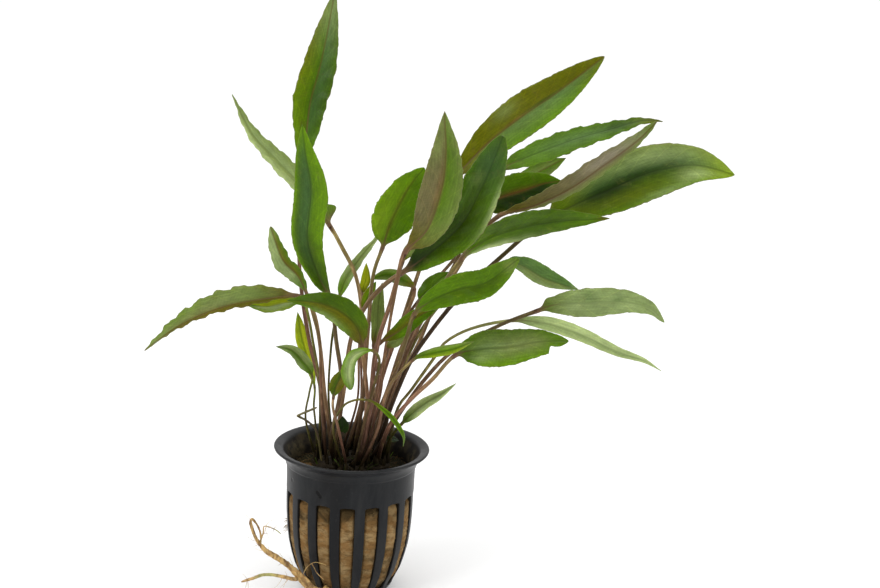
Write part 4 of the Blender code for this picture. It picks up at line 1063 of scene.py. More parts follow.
def leaf_material(slot, settings):
    """Leaf tissue: painted colour, mottled and veined, glossy above and duller beneath, with painted
    highlights streaked along the stalks.
    """
    finish = FINISHES[slot]
    material, tree, shader = start_material(slot)
    tint = tree.paint("tint")
    offset = tree.value("offset")
    reach = tree.value("reach")
    blade = tree.value("blade")
    under = tree.value("under")
    edge = tree.value("edge")
    mottled = tree.group("Mottling", Colour=tint, Patch_Colour=rgba(finish.patch_colour), Scale=75.0,
                         Amount=0.30, Patches=finish.patches)
    veins = tree.group("Leaf veins", Reach=reach, Offset=offset, Spacing=settings.vein_spacing / MM,
                       Slant=settings.vein_slant, Width=0.055)
    shown = tree.times(blade, finish.veins)
    # Lengthwise streaks that lighten and darken the blade: partly its fine parallel veins, partly painted
    # sheen
    grain_and_sheen = tree.remap(veins["Streaks"], 0.3, 0.72, 0.84, 1.18)
    mottled = tree.brighten(mottled["Colour"], grain_and_sheen)
    lighter = tree.mix(1.0, mottled, (1.45, 1.35, 1.2, 1.0), blend="MULTIPLY")
    darker = tree.mix(1.0, mottled, (0.68, 0.66, 0.6, 1.0), blend="MULTIPLY")
    crossed = tree.mix(tree.times(veins["Cross Veins"], tree.times(shown, 0.55)),
                       mottled, darker)
    veined = tree.mix(tree.times(veins["Side Veins"], shown), crossed, lighter)
    rib_width = tree.plus(0.34, tree.times(under, 0.35))
    rib = tree.remap(tree.math("ABSOLUTE", offset), tree.times(rib_width, 0.5), rib_width, 1.0, 0.0)
    rib_colour = tree.paint("rib")
    ribbed = tree.mix(tree.times(tree.times(rib, blade), 0.85), veined, rib_colour)
    worn = tree.noise(tree.place(), 260.0, 3.0)
    rim = tree.times(tree.remap(edge, 0.93, 1.0), tree.remap(worn, 0.45, 0.62))
    rimmed = tree.mix(tree.times(rim, 0.6), ribbed, (0.20, 0.17, 0.07, 1.0))
    # Painted highlights: pale lengthwise streaks on the stalks, lightened nearly three times
    stalk = tree.math("SUBTRACT", 1.0, blade)
    streaked = tree.times(tree.remap(veins["Streaks"], 0.5, 0.68), tree.times(stalk, 0.5))
    final = tree.mix(streaked, rimmed, tree.mix(1.0, rimmed, (2.6, 2.7, 2.9, 1.0), blend="MULTIPLY"))
    tree.feed(shader["Base Color"], final)
    patchy = tree.noise(tree.place(), 160.0, 3.0)
    rough = tree.plus(finish.roughness - 0.08, tree.times(patchy, 0.16))
    tree.feed(shader["Roughness"], tree.plus(rough, tree.times(under, 0.16), clamp=True))
    wet = tree.times(tree.math("SUBTRACT", 1.0, tree.times(under, 0.8)), finish.coat)
    tree.feed(shader["Coat Weight"], wet)
    shader["Coat Roughness"].default_value = 0.22
    shader["Specular IOR Level"].default_value = 0.07
    shader["Subsurface Weight"].default_value = finish.glow
    shader["Subsurface Radius"].default_value = (0.6, 1.0, 0.15)
    shader["Subsurface Scale"].default_value = 0.0015
    fine = tree.noise(tree.place(), 900.0, 2.0)
    height = tree.plus(tree.times(veins["Height"], blade), tree.times(fine, 0.35))
    tree.feed(shader["Normal"], bump(tree, height, 0.7, 0.16))
    return material


# Crowns

CROWN_NODES = ("crown_left", "crown_front", "crown_right", "crown_back")

# A crown's clump in millimetres, how near a stalk stands that it sheathes, and its sprigs' ring and number
CLUMP_RADIUS = 5.4
CLUMP_HEIGHT = 2.6
SHEATH_REACH = 6.3
SPRIG_RING = 4.6
SPRIGS = 9


def lumpy_dome(centre, radius, height, number, rows=14, columns=40):
    """Points and faces of a closed uneven dome."""
    points = []
    for row in range(rows + 1):
        level = row / rows
        for column in range(columns):
            angle = 2 * math.pi * column / columns
            out = math.cos(level * math.pi / 2) ** 0.6
            place = Vector((math.cos(angle) * 2.2, math.sin(angle) * 2.2, level * 2 + number * 7))
            lump = noise.noise(place)
            reach = radius * max(out, 0.02) * (1 + 0.22 * lump)
            rise = height * math.sin(level * math.pi / 2) * (1 + 0.25 * lump)
            points.append((centre[0] + reach * math.cos(angle), centre[1] + reach * math.sin(angle),
                           centre[2] + rise))
    return points, ring_faces(rows + 1, columns)


def scale_leaf(strands, foot, direction, length, width, shade):
    """One papery sheath: a short curved scale that clasps the stalks."""
    side = Vector(direction).cross(Vector((0, 0, 1))).normalized()
    outward = Vector(direction).normalized()
    rows, columns = 9, 7
    front, back = [], []
    for row in range(rows):
        t = row / (rows - 1)
        half = width * math.sin(math.pi * min(1.0, 0.25 + 0.75 * t)) ** 0.7 * 0.5 + 0.05
        middle = Vector(foot) + outward * (0.9 * math.sin(t * 2.2)) + Vector((0, 0, 1)) * length * t
        for column in range(columns):
            u = column / (columns - 1) * 2 - 1
            place = middle + side * half * u - outward * (0.5 * half * u * u)
            front.append(place + outward * 0.09)
            back.append(place - outward * 0.09)
    first = strands.count
    faces = []
    size = rows * columns
    for row in range(rows - 1):
        for column in range(columns - 1):
            a = first + row * columns + column
            faces.append((a, a + 1, a + columns + 1, a + columns))
            faces.append((a + size, a + size + columns, a + size + columns + 1, a + size + 1))
    rim = [row * columns for row in range(rows)]
    rim += [(rows - 1) * columns + c for c in range(1, columns)]
    rim += [row * columns + columns - 1 for row in range(rows - 2, -1, -1)]
    rim += range(columns - 2, 0, -1)
    for a, b in zip(rim, rim[1:] + rim[:1]):
        faces.append((first + b, first + a, first + a + size, first + b + size))
    strands.include([tuple(p) for p in front + back], faces, [shade] * (2 * size))


def crown_material(colours):
    """Crown tissue and papery sheaths: mottled brown to olive, each strand in its own shade."""
    material, tree, shader = start_material("crown_brown")
    shade = tree.value("shade")
    own = tree.node("ShaderNodeValToRGB", {"Fac": shade})
    ramp = own.color_ramp
    ramp.elements[0].position = 0.0
    ramp.elements[0].color = (0.014, 0.009, 0.004, 1.0)
    ramp.elements[1].position = 1.0
    ramp.elements[1].color = (0.050, 0.085, 0.008, 1.0)
    for position, colour in ((0.4, (0.020, 0.014, 0.006, 1.0)), (0.7, rgba(colours.sheath)),
                             (0.85, (0.020, 0.030, 0.005, 1.0))):
        ramp.elements.new(position).color = colour
    mottled = tree.group("Mottling", Colour=own.outputs["Color"], Patch_Colour=(0.02, 0.014, 0.006, 1.0),
                         Scale=240.0, Amount=0.5, Patches=0.7)
    tree.feed(shader["Base Color"], mottled["Colour"])
    grain = tree.noise(tree.place((1.0, 1.0, 0.2)), 700.0, 4.0)
    tree.feed(shader["Roughness"], tree.plus(0.5, tree.times(grain, 0.35), clamp=True))
    shader["Specular IOR Level"].default_value = 0.12
    tree.feed(shader["Normal"], bump(tree, grain, 0.8, 0.25))
    return material


def build_crown(name, number, material):
    """A clump of knobs and papery sheaths round the feet of the stalks, with a few sprigs."""
    low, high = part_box(name)
    centre = ((low[0] + high[0]) / 2 / MM, (low[1] + high[1]) / 2 / MM, low[2] / MM - 0.6)
    chance = random.Random(number * 31 + 3)
    clump = Strands()
    points, faces = lumpy_dome(centre, CLUMP_RADIUS, CLUMP_HEIGHT, number)
    clump.include(points, faces, [0.1] * len(points))
    for leaf in LEAVES:
        away = Vector((leaf.root[0] - centre[0], leaf.root[1] - centre[1], 0.0))
        if away.length > SHEATH_REACH:
            continue
        for _ in range(2):
            angle = math.atan2(away.y, away.x) + chance.uniform(-1.2, 1.2)
            direction = (math.cos(angle), math.sin(angle), 0.0)
            foot = (leaf.root[0] + direction[0] * leaf.radius * 0.9,
                    leaf.root[1] + direction[1] * leaf.radius * 0.9, centre[2] + 1.0)
            length = chance.uniform(2.0, 5.0)
            width = leaf.radius * chance.uniform(1.4, 2.2)
            scale_leaf(clump, foot, direction, length, width, chance.uniform(0.05, 0.5))
    for _ in range(SPRIGS):
        angle = chance.uniform(0, 2 * math.pi)
        start = np.array((centre[0] + SPRIG_RING * math.cos(angle),
                          centre[1] + SPRIG_RING * math.sin(angle), centre[2] + 1.2))
        lean = np.array((math.cos(angle), math.sin(angle), chance.uniform(0.8, 2.4)))
        length = chance.uniform(2.0, 5.5)
        steps = np.linspace(0, 1, 7)[:, None]
        curl = np.array((chance.uniform(-1, 1), chance.uniform(-1, 1), -0.4))
        line = start + lean / np.linalg.norm(lean) * length * steps + curl * (steps ** 2) * length * 0.35
        clump.add(line, chance.uniform(0.14, 0.26), chance.choice((0.3, 0.5, 0.85, 1.0)), sides=5)
    settle(clump.piece(name + "_fine", material), "crown_brown", name)


# Rock wool

# Outline of the plug's side as (radius, height), from the floor up to the top's edge
WOOL_SIDE = ((14.6, 1.75), (15.9, 4.2), (17.0, 7.0), (17.6, 8.8), (18.7, 13.1), (19.75, 17.3), (20.5, 22.5),
             (20.75, 28.0), (20.8, 33.0), (20.85, 38.5), (20.95, 41.0), (20.6, 42.8))

# How far inside that outline the side's mean surface lies
SIDE_INSET = 0.25

# Rings round the side, points round each, and the top's rings as shares of its edge
WOOL_ROWS = 96
WOOL_COLUMNS = 288
TOP_SHARES = (0.96, 0.9, 0.82, 0.72, 0.6, 0.48, 0.36, 0.24, 0.12)

# Where the top is dry and pale, how far under its highest point it lies, and how far out fibres start and lie
PALE_SPOT = (-16.5, -4.0, 45.0)
TOP_INSET = 0.35
TOP_SPREAD = 20.2
TOP_REACH = 20.4

# Where along a fibre its points stand, and the tuft of strands in a slot on the left
FIBRE_STEPS = [step / 5 for step in range(6)]
TUFT_STRANDS = 26
TUFT_RADIUS = 20.7


def wool_radius(height):
    """Radius of the plug's side at a height."""
    heights = [h for _, h in WOOL_SIDE]
    radii = [r for r, _ in WOOL_SIDE]
    return float(np.interp(height, heights, radii))


def slot_bulge(angle, height):
    """How far the plug presses out into the pot's slots, from 0 at a rib to 1 in a slot's middle."""
    pot = bpy.context.scene.plant_pot
    pitch = 2 * math.pi / pot.slots
    away = (angle + math.pi / 2 - pot.first_slot + pitch / 2) % pitch - pitch / 2
    across = max(0.0, 1.0 - (abs(away) / (pot.slot_width * 0.5)) ** 9)
    along = max(0.0, min(1.0, (height - 4.0) / 3.0, (35.2 - height) / 1.5))
    return across * along


def wool_offset(angle, height, size):
    """How far the plug's side stands proud at a place, in layers that lie level."""
    place = Vector((math.cos(angle) * 2.6, math.sin(angle) * 2.6, height * 0.32))
    broad = noise.noise(place)
    layered = noise.noise(Vector((math.cos(angle) * 5.5, math.sin(angle) * 5.5, height * 1.35)))
    fine = noise.noise(Vector((math.cos(angle) * 22, math.sin(angle) * 22, height * 3.1)))
    return size * (0.45 * broad + 0.6 * layered + 0.3 * fine) + 1.2 * slot_bulge(angle, height)


def top_height(x, y, top, size):
    """Height of the plug's uneven top at a place."""
    broad = noise.noise(Vector((x * 0.16, y * 0.16, 3.0)))
    middle = noise.noise(Vector((x * 0.5, y * 0.5, 9.0)))
    fine = noise.noise(Vector((x * 1.6, y * 1.6, 5.0)))
    return top + size * (0.35 * broad + 0.25 * middle + 0.14 * fine)


def wool_material(settings):
    """Mineral wool: golden matted fibre in level layers, dark where it is wet, and a green top darkened
    further by painted shade.
    """
    material, tree, shader = start_material("rock_wool")
    top = tree.value("top")
    shade = tree.value("shade")
    damp = tree.value("damp")
    side = tree.group("Matted fibres", Light=rgba(settings.light), Middle=rgba(settings.golden),
                      Dark=rgba(settings.dark), Scale=150.0, Darkness=damp)
    upper = tree.group("Mottling", Colour=rgba(settings.algae), Patch_Colour=rgba(settings.dark),
                       Scale=170.0, Amount=0.6, Patches=0.75)
    pale = tree.remap(tree.distance(tree.place(), PALE_SPOT), 0.0035, 0.008, 0.8, 0.0)
    # Painted shade: the top, down inside the pot, darkened to under half of its algae-green colour
    dim = tree.mix(1.0, upper["Colour"], (0.45, 0.42, 0.38, 1.0), blend="MULTIPLY")
    surface = tree.mix(top, side["Colour"], tree.mix(pale, dim, rgba(settings.golden)))
    bright = tree.plus(0.7, tree.times(shade, 0.6))
    tree.feed(shader["Base Color"], tree.brighten(surface, bright))
    tree.feed(shader["Roughness"], tree.plus(0.78, tree.times(side["Height"], 0.12), clamp=True))
    shader["Specular IOR Level"].default_value = 0.1
    tree.feed(shader["Normal"], bump(tree, side["Height"], 0.7, 0.3))
    return material


def side_point(angle, height, settings, proud=0.0):
    """Point on the plug's uneven side, or a little proud of it."""
    radius = wool_radius(height) + wool_offset(angle, height, settings.lumps / MM) - SIDE_INSET + proud
    return radius * math.cos(angle), radius * math.sin(angle), height


class Wool(Strands):
    """Strands of wool that also say for each point how far it is on top, and how damp."""

    def __init__(self):
        super().__init__()
        self.tops = []
        self.damps = []

    def strand(self, line, radius, shade, top, damp):
        """Add one fibre."""
        self.add(line, radius, shade)
        added = self.count - len(self.tops)
        self.tops += [top] * added
        self.damps += [damp] * added


def add_plug(body, floor, top, settings):
    """Add the plug's closed side and top, as rings from the floor up and then in to the middle."""
    points = []
    angles = [2 * math.pi * column / WOOL_COLUMNS for column in range(WOOL_COLUMNS)]
    edge_radius, edge_height = WOOL_SIDE[-1]
    for height in np.linspace(floor + 0.2, edge_height, WOOL_ROWS):
        near_top = max(0.0, (height - 27.0) / 9.0)
        near_floor = max(0.0, (24.0 - height) / 24.0)
        for angle in angles:
            points.append(side_point(angle, height, settings))
            patch = noise.noise(Vector((math.cos(angle) * 3.0, math.sin(angle) * 3.0, height * 0.12 + 20)))
            body.damps.append(min(0.85, max(0.0, (near_top + near_floor * 0.65) * (0.6 + patch))))
            body.tops.append(0.0)
    for share in TOP_SHARES:
        radius = edge_radius * share
        level = top - TOP_INSET - 0.5 * share ** 6
        for angle in angles:
            x, y = radius * math.cos(angle), radius * math.sin(angle)
            points.append((x, y, top_height(x, y, level, settings.top_lumps / MM)))
            body.damps.append(0.3)
            body.tops.append(1.0)
    faces = ring_faces(WOOL_ROWS + len(TOP_SHARES), WOOL_COLUMNS)
    body.include(points, faces, [0.5] * len(points))


def add_side_fibres(body, chance, settings):
    """Add loose fibres that lie nearly level round the side."""
    for _ in range(settings.side_fibres):
        angle = chance.uniform(0, 2 * math.pi)
        height = chance.uniform(3.0, 38.0)
        length = chance.uniform(1.6, 5.0)
        slope = chance.gauss(0, 0.22)
        wander = chance.uniform(0, 6.3)
        line = []
        for t in FIBRE_STEPS:
            here = angle + (t - 0.5) * length / 20.0
            z = height + slope * (t - 0.5) * length + 0.25 * math.sin(wander + t * 4)
            proud = 0.05 + 0.18 * math.sin(math.pi * t) * chance.uniform(0.4, 1.4)
            line.append(side_point(here, z, settings, proud))
        body.strand(line, settings.fibre_radius / MM * chance.uniform(0.6, 1.3), chance.uniform(0.1, 1.0),
                    0.0, min(0.8, max(0.0, (height - 33) / 6)))


def add_top_fibres(body, chance, top, settings):
    """Add loose fibres that arch over the top, within its edge."""
    for _ in range(settings.top_fibres):
        radius, angle = TOP_SPREAD * math.sqrt(chance.random()), chance.uniform(0, 2 * math.pi)
        x, y = radius * math.cos(angle), radius * math.sin(angle)
        heading = chance.uniform(0, 2 * math.pi)
        length = chance.uniform(1.5, 5.5)
        rise = chance.uniform(0.1, 0.9)
        line = []
        for t in FIBRE_STEPS:
            px = x + math.cos(heading + t * 0.9) * length * (t - 0.5)
            py = y + math.sin(heading + t * 0.9) * length * (t - 0.5)
            away = math.hypot(px, py)
            if away > TOP_REACH:
                px, py = px * TOP_REACH / away, py * TOP_REACH / away
            ground = top_height(px, py, top - TOP_INSET, settings.top_lumps / MM)
            line.append((px, py, ground + 0.05 + rise * math.sin(math.pi * t)))
        body.strand(line, settings.fibre_radius / MM * chance.uniform(0.7, 1.6), chance.uniform(0.0, 1.0),
                    chance.choice((0.2, 0.6, 1.0, 1.0)), chance.uniform(0.0, 0.6))


def add_tuft(body, chance):
    """Add the pale strands that stick out of a slot on the left."""
    steps = np.linspace(0, 1, len(FIBRE_STEPS))[:, None]
    for _ in range(TUFT_STRANDS):
        start = np.array((-TUFT_RADIUS, chance.uniform(-1.5, 1.5), chance.uniform(18.5, 23.5)))
        lean = np.array((-1.0, chance.gauss(0, 0.4), chance.uniform(-0.3, 0.9)))
        length = chance.uniform(1.0, 2.5)
        line = start + lean * length * steps + np.array((0.0, 0.0, -0.5)) * length * steps ** 2
        body.strand(line, chance.uniform(0.07, 0.16), 1.0, 0.0, 0.0)


def build_wool(settings):
    """The plug: an uneven closed body with loose fibres over its side and top."""
    low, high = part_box("rock_wool")
    top = high[2] / MM
    chance = random.Random(11)
    body = Wool()
    add_plug(body, low[2] / MM, top, settings)
    add_side_fibres(body, chance, settings)
    add_top_fibres(body, chance, top, settings)
    add_tuft(body, chance)
    piece = body.piece("rock_wool_fine", wool_material(settings), top=body.tops, damp=body.damps)
    settle(piece, "rock_wool", "rock_wool")


# Pot

# Closed outline of the pot's wall as (radius, height): up the outside, over the lip, down the inside
POT_OUTSIDE = ((14.2, 0.0), (14.6, 0.12), (14.9, 0.6), (15.9, 2.0), (16.1, 2.7), (16.5, 3.6), (17.6, 6.0),
               (18.9, 8.8), (20.15, 13.1), (21.1, 17.3), (21.75, 22.5), (22.1, 28.0), (22.2, 33.0),
               (22.2, 35.0), (22.2, 35.9), (22.2, 38.5), (22.25, 41.5), (22.4, 44.9), (22.75, 45.25),
               (22.85, 45.7), (23.3, 46.8), (24.1, 48.0), (25.3, 49.1), (26.4, 49.85), (26.85, 50.25),
               (27.0, 50.6))
POT_LIP = ((26.95, 50.85), (26.7, 51.0), (26.2, 50.97), (25.2, 50.72), (24.4, 50.5), (24.0, 50.25))
POT_INSIDE = ((23.4, 49.4), (22.6, 48.0), (21.9, 46.6), (21.35, 45.2), (21.2, 41.5), (21.1, 38.5),
              (21.1, 35.9), (21.1, 35.0), (21.1, 33.0), (21.0, 28.0), (20.65, 22.5), (20.0, 17.3),
              (19.05, 13.1), (17.8, 8.8), (16.5, 6.0), (15.4, 3.6), (15.05, 2.7), (14.8, 2.0),
              (14.3, 1.45), (13.0, 1.4))

# Columns of the wall across each slot and each rib
SLOT_STEPS = 4
RIB_STEPS = 5

# Places inside the wall that wool clings to, and small dark nicks in the outside
WOOL_SMEARS = ((-20.4, 3.5, 46.2), (-19.0, 9.5, 46.0), (19.8, 5.5, 45.6))
NICKS = ((-10.2, -19.7, 40.6), (-9.7, -19.9, 40.0), (-9.2, -20.2, 39.3), (-19.5, -10.6, 41.3),
         (20.1, -9.4, 34.5))

# How much each slot's end corners are cut off, and how near an end a height counts as on it
SLOT_CORNER = 0.35
NEAR_END = 0.05


def pot_angles(settings):
    """Angles of the wall's columns, and for each column whether a slot lies between it and the next."""
    angles, open_after = [], []
    pitch = 2 * math.pi / settings.slots
    for number in range(settings.slots):
        middle = settings.first_slot + number * pitch
        start = middle - settings.slot_width / 2
        for step in range(SLOT_STEPS):
            angles.append(start + settings.slot_width * step / SLOT_STEPS)
            open_after.append(True)
        for step in range(RIB_STEPS):
            angles.append(start + settings.slot_width + (pitch - settings.slot_width) * step / RIB_STEPS)
            open_after.append(False)
    return angles, open_after


def pot_mesh(settings):
    """Points and faces of the slotted wall with its floor and lip."""
    outline = POT_OUTSIDE + POT_LIP + POT_INSIDE
    angles, open_after = pot_angles(settings)
    columns = len(angles)
    top, bottom = settings.slot_top / MM, settings.slot_bottom / MM
    points = []
    for radius, height in outline:
        for column, angle in enumerate(angles):
            slot_side = column % (SLOT_STEPS + RIB_STEPS) in (0, SLOT_STEPS)
            z = height
            if slot_side and abs(height - top) < NEAR_END:
                z -= SLOT_CORNER
            if slot_side and abs(height - bottom) < NEAR_END:
                z += SLOT_CORNER * 0.6
            points.append((radius * math.sin(angle), -radius * math.cos(angle), z))
    faces = []
    rows = len(outline)

    def in_slot(row):
        low = min(outline[row][1], outline[row + 1][1])
        high = max(outline[row][1], outline[row + 1][1])
        return low > bottom - NEAR_END and high < top + NEAR_END

    slot_rows_out = [row for row in range(len(POT_OUTSIDE) - 1) if in_slot(row)]
    first_inside = len(POT_OUTSIDE) + len(POT_LIP)
    slot_rows_in = [row for row in range(first_inside, rows - 1) if in_slot(row)]
    slot_rows = set(slot_rows_out + slot_rows_in)
    for row in range(rows - 1):
        for column in range(columns):
            following = (column + 1) % columns
            if row in slot_rows and open_after[column]:
                continue
            a, b = row * columns + column, row * columns + following
            faces.append((a, b, b + columns, a + columns))
    outer = [slot_rows_out[0] + i for i in range(len(slot_rows_out) + 1)]
    inner = [slot_rows_in[-1] + 1 - i for i in range(len(slot_rows_in) + 1)]
    for column in range(columns):
        following = (column + 1) % columns
        if not open_after[column]:
            continue
        for row_out, row_in, up in ((outer[0], inner[0], True), (outer[-1], inner[-1], False)):
            quad = (row_out * columns + column, row_out * columns + following,
                    row_in * columns + following, row_in * columns + column)
            faces.append(quad if up else quad[::-1])
        if not open_after[column - 1]:
            for i in range(len(outer) - 1):
                faces.append((outer[i] * columns + column, inner[i] * columns + column,
                              inner[i + 1] * columns + column, outer[i + 1] * columns + column))
        if not open_after[following]:
            for i in range(len(outer) - 1):
                faces.append((outer[i + 1] * columns + following, inner[i + 1] * columns + following,
                              inner[i] * columns + following, outer[i] * columns + following))
    faces.append(tuple(reversed(range(columns))))
    last = (rows - 1) * columns
    faces.append(tuple(last + i for i in range(columns)))
    return points, faces


def pot_material(settings):
    """Moulded plastic: satin charcoal with a bluish cast, a dried film and fine scuffs."""
    material, tree, shader = start_material("pot_plastic")
    place = tree.place()
    cast = tree.remap(tree.noise(tree.place((1.0, 1.0, 0.4)), 55.0, 3.0), 0.38, 0.64)
    base = tree.mix(cast, rgba(settings.plastic), rgba(settings.tint))
    coordinates = tree.node("ShaderNodeSeparateXYZ", {"Vector": place}).outputs
    lip = tree.remap(coordinates["Z"], 0.0490, 0.0511)
    chips = tree.remap(tree.noise(place, 900.0, 4.0, 0.6), 0.52, 0.66)
    edge = tree.times(lip, tree.plus(0.12, tree.times(chips, 0.3)))
    film = tree.group("Dried film", Colour=base, Film_Colour=rgba(settings.dust),
                      Roughness=settings.roughness, Amount=0.5, Scale=70.0, Edge=edge)
    inside = tree.value("inside")
    grime = tree.remap(tree.noise(place, 160.0, 4.0), 0.45, 0.62)
    stained = tree.mix(grime, (0.007, 0.005, 0.003, 1.0), rgba(settings.grime))
    walled = tree.mix(tree.times(inside, 0.92), film["Colour"], stained)
    for smear in WOOL_SMEARS:
        spot = tree.times(tree.remap(tree.distance(place, smear), 0.001, 0.0055, 1.0, 0.0), inside)
        ragged = tree.times(spot, tree.remap(tree.noise(place, 420.0, 5.0, 0.7), 0.36, 0.6))
        walled = tree.mix(ragged, walled, (0.085, 0.068, 0.034, 1.0))
    dents = 0.0
    for nick in NICKS:
        spot = tree.remap(tree.distance(place, nick), 0.0004, 0.0009, 1.0, 0.0)
        walled = tree.mix(spot, walled, (0.0002, 0.0002, 0.0002, 1.0))
        dents = tree.math("MAXIMUM", dents, spot)
    tree.feed(shader["Base Color"], walled)
    tree.feed(shader["Roughness"], tree.plus(film["Roughness"], tree.times(inside, 0.3), clamp=True))
    shader["Specular IOR Level"].default_value = 0.15
    scratches = tree.noise(tree.place((6.0, 6.0, 0.7)), 260.0, 4.0)
    height = tree.plus(tree.times(film["Height"], 0.5), tree.times(scratches, 0.5))
    dented = tree.math("SUBTRACT", height, tree.times(dents, 12.0))
    tree.feed(shader["Normal"], bump(tree, dented, 0.25, 0.12))
    return material


def build_pot(settings):
    """The net pot: slotted wall and moulded lip, with softly rounded edges."""
    points, faces = pot_mesh(settings)
    rows = len(points) // (settings.slots * (SLOT_STEPS + RIB_STEPS))
    first = len(POT_OUTSIDE) + len(POT_LIP)
    inside = np.repeat([float(first <= row) for row in range(rows)], len(points) // rows)
    pot = make_piece("pot_fine", points, faces, pot_material(settings), {"inside": inside}, sharp=38)
    rounding = pot.modifiers.new("Moulded Edges", "BEVEL")
    rounding.width = settings.edge_round
    rounding.segments = 2
    rounding.limit_method = "ANGLE"
    rounding.angle_limit = math.radians(42)
    rounding.use_clamp_overlap = True
    settle(pot, "pot_plastic", "pot")


# Roots and the kinked stalk

# Where a root's finer strand starts inside the one that it branches from: radius and point
ROOT_FEET = {
    "root_upper": (1.15, (-17.9, -18.6, 11.6)), "root_loop": (0.8, (-29.2, -20.0, 20.6)),
    "root_curl": (0.6, (-29.2, -20.0, 20.6)), "root_lower": (0.9, (-15.4, -18.6, 8.6)),
}

# How root_loop closes, back to where it began
LOOP_END = ((0.38, (-29.2, -20.0, 24.6)), (0.4, (-29.2, -20.0, 22.8)))

# Share of its solid's thickness that each finer root has, and how much greener it is
ROOT_LOOKS = {"root_trunk": (1.0, 0.0), "root_upper": (0.88, -0.1), "root_loop": (0.85, -0.05),
              "root_curl": (0.6, 0.3), "root_lower": (0.8, 0.2)}

# Hair-like side roots that lie over the wall: radius and points
STRAY_ROOTS = (
    (0.13, ((-14.9, -18.1, 8.4), (-13.3, -17.8, 12.2), (-10.9, -18.2, 14.4), (-8.6, -19.4, 14.8),
            (-6.4, -20.3, 14.5))),
    (0.16, ((-11.6, -18.0, 13.9), (-10.6, -18.6, 12.6), (-9.8, -19.0, 11.2), (-8.2, -19.4, 9.7),
            (-7.2, -19.6, 9.0))),
)


def strand_line(route, spacing=0.35):
    """Smooth line through (radius, point) pairs, with its radii and distances."""
    points = [point for _, point in route]
    last = len(points) - 1
    knots = [0.0]
    for index in range(1, len(points)):
        knots.append(lengthwise(points, 0, index, (0.0, 1.0))[1][-1])
    count = max(12, int(knots[-1] / spacing))
    line, reach = lengthwise(points, 0, last, np.linspace(0, 1, count))
    radii = np.interp(reach, knots, [radius for radius, _ in route])
    return line, radii, reach


def root_material(settings):
    """Root: straw to brown along its length, streaked, with a greenish living tip."""
    material, tree, shader = start_material("root_straw")
    shade = tree.value("shade")
    streaks = tree.noise(tree.place((1.0, 1.0, 0.5)), 380.0, 4.0, 0.65, 0.6)
    base = tree.mix(tree.remap(streaks, 0.38, 0.58), rgba(settings.brown), rgba(settings.straw))
    greened = tree.mix(tree.remap(shade, 0.55, 1.0), base, rgba(settings.green))
    mottled = tree.group("Mottling", Colour=greened, Patch_Colour=rgba(settings.brown), Scale=260.0,
                         Amount=0.5, Patches=0.6)
    tree.feed(shader["Base Color"], mottled["Colour"])
    tree.feed(shader["Roughness"], tree.plus(0.45, tree.times(streaks, 0.3), clamp=True))
    shader["Subsurface Weight"].default_value = 0.1
    shader["Subsurface Scale"].default_value = 0.001
    tree.feed(shader["Normal"], bump(tree, streaks, 0.8, 0.2))
    return material


def add_knobbly(body, line, radii, shade, sides=14, joined=False):
    """Add an uneven closed tube with rounded ends, or one rounded end, to a body of strands."""
    uneven = np.array([1 + 0.16 * noise.noise(Vector(point) * 0.8) + 0.07 * noise.noise(Vector(point) * 2.6)
                       for point in line])
    ends = np.arange(len(line))[::-1] / 4.0
    if not joined:
        ends = np.minimum(ends, np.arange(len(line)) / 4.0)
    rounded = np.sqrt(np.clip(ends, 0.02, 1.0) * (2 - np.clip(ends, 0.02, 1.0)))
    points = tube_rings(line, radii * uneven * rounded, sides).reshape(-1, 3)
    shades = list(np.repeat(np.clip(shade, 0, 1), sides))
    body.include(points, ring_faces(len(line), sides, body.count), shades)


def add_hairs(body, line, radii, number, chance, length=(1.0, 3.2)):
    """Add fine root hairs that stand off a line."""
    along = directions(line)
    for _ in range(number):
        index = chance.randrange(2, len(line) - 2)
        spin = np.array([chance.gauss(0, 1) for _ in range(3)])
        off = np.cross(along[index], spin)
        off = off / np.linalg.norm(off)
        reach = chance.uniform(*length)
        curl = np.array([chance.gauss(0, 1) for _ in range(3)]) * 0.4
        hair = []
        for step in range(6):
            t = step / 5
            hair.append(line[index] + off * (radii[index] * 0.8 + reach * t)
                        + (curl + along[index] * 0.5) * reach * t * t)
        hair = [(x, y, max(z, 0.3)) for x, y, z in hair]
        body.add(hair, 0.085, chance.uniform(0.2, 0.8), sides=4, taper=0.35)


def build_root(name, number, settings, material):
    """One stretch of loose root with its hairs."""
    chance = random.Random(number * 13 + 1)
    joined = name in ROOT_FEET
    route = ((ROOT_FEET[name],) if joined else ()) + ROOTS[name]
    if name == "root_loop":
        route += LOOP_END
    line, radii, reach = strand_line(route)
    share, greener = ROOT_LOOKS[name]
    radii = radii * share
    body = Strands()
    shade = 0.42 + greener + 0.25 * np.sin(reach / 3.2 + number)
    if name == "root_trunk":
        along = directions(line)
        side = np.cross(along, (0.0, 1.0, 0.0))
        side = side / np.linalg.norm(side, axis=1)[:, None]
        twist = np.sin(reach / 5.0)[:, None]
        add_knobbly(body, line + side * radii[:, None] * 0.42 * (0.7 + 0.3 * twist), radii * 0.66, shade)
        add_knobbly(body, line - side * radii[:, None] * 0.42, radii * 0.62, shade - 0.15)
    else:
        add_knobbly(body, line, radii, shade, sides=12, joined=joined)
    add_hairs(body, line, radii, int(settings.hairs * reach[-1] / 10), chance)
    if name == "root_trunk":
        for radius, stray in STRAY_ROOTS:
            smoothed, _ = lengthwise(stray, 0, len(stray) - 1, np.linspace(0, 1, 30))
            body.add(smoothed, radius, 0.6, sides=8, taper=0.6)
    settle(body.piece(name + "_fine", material), "root_straw", name)


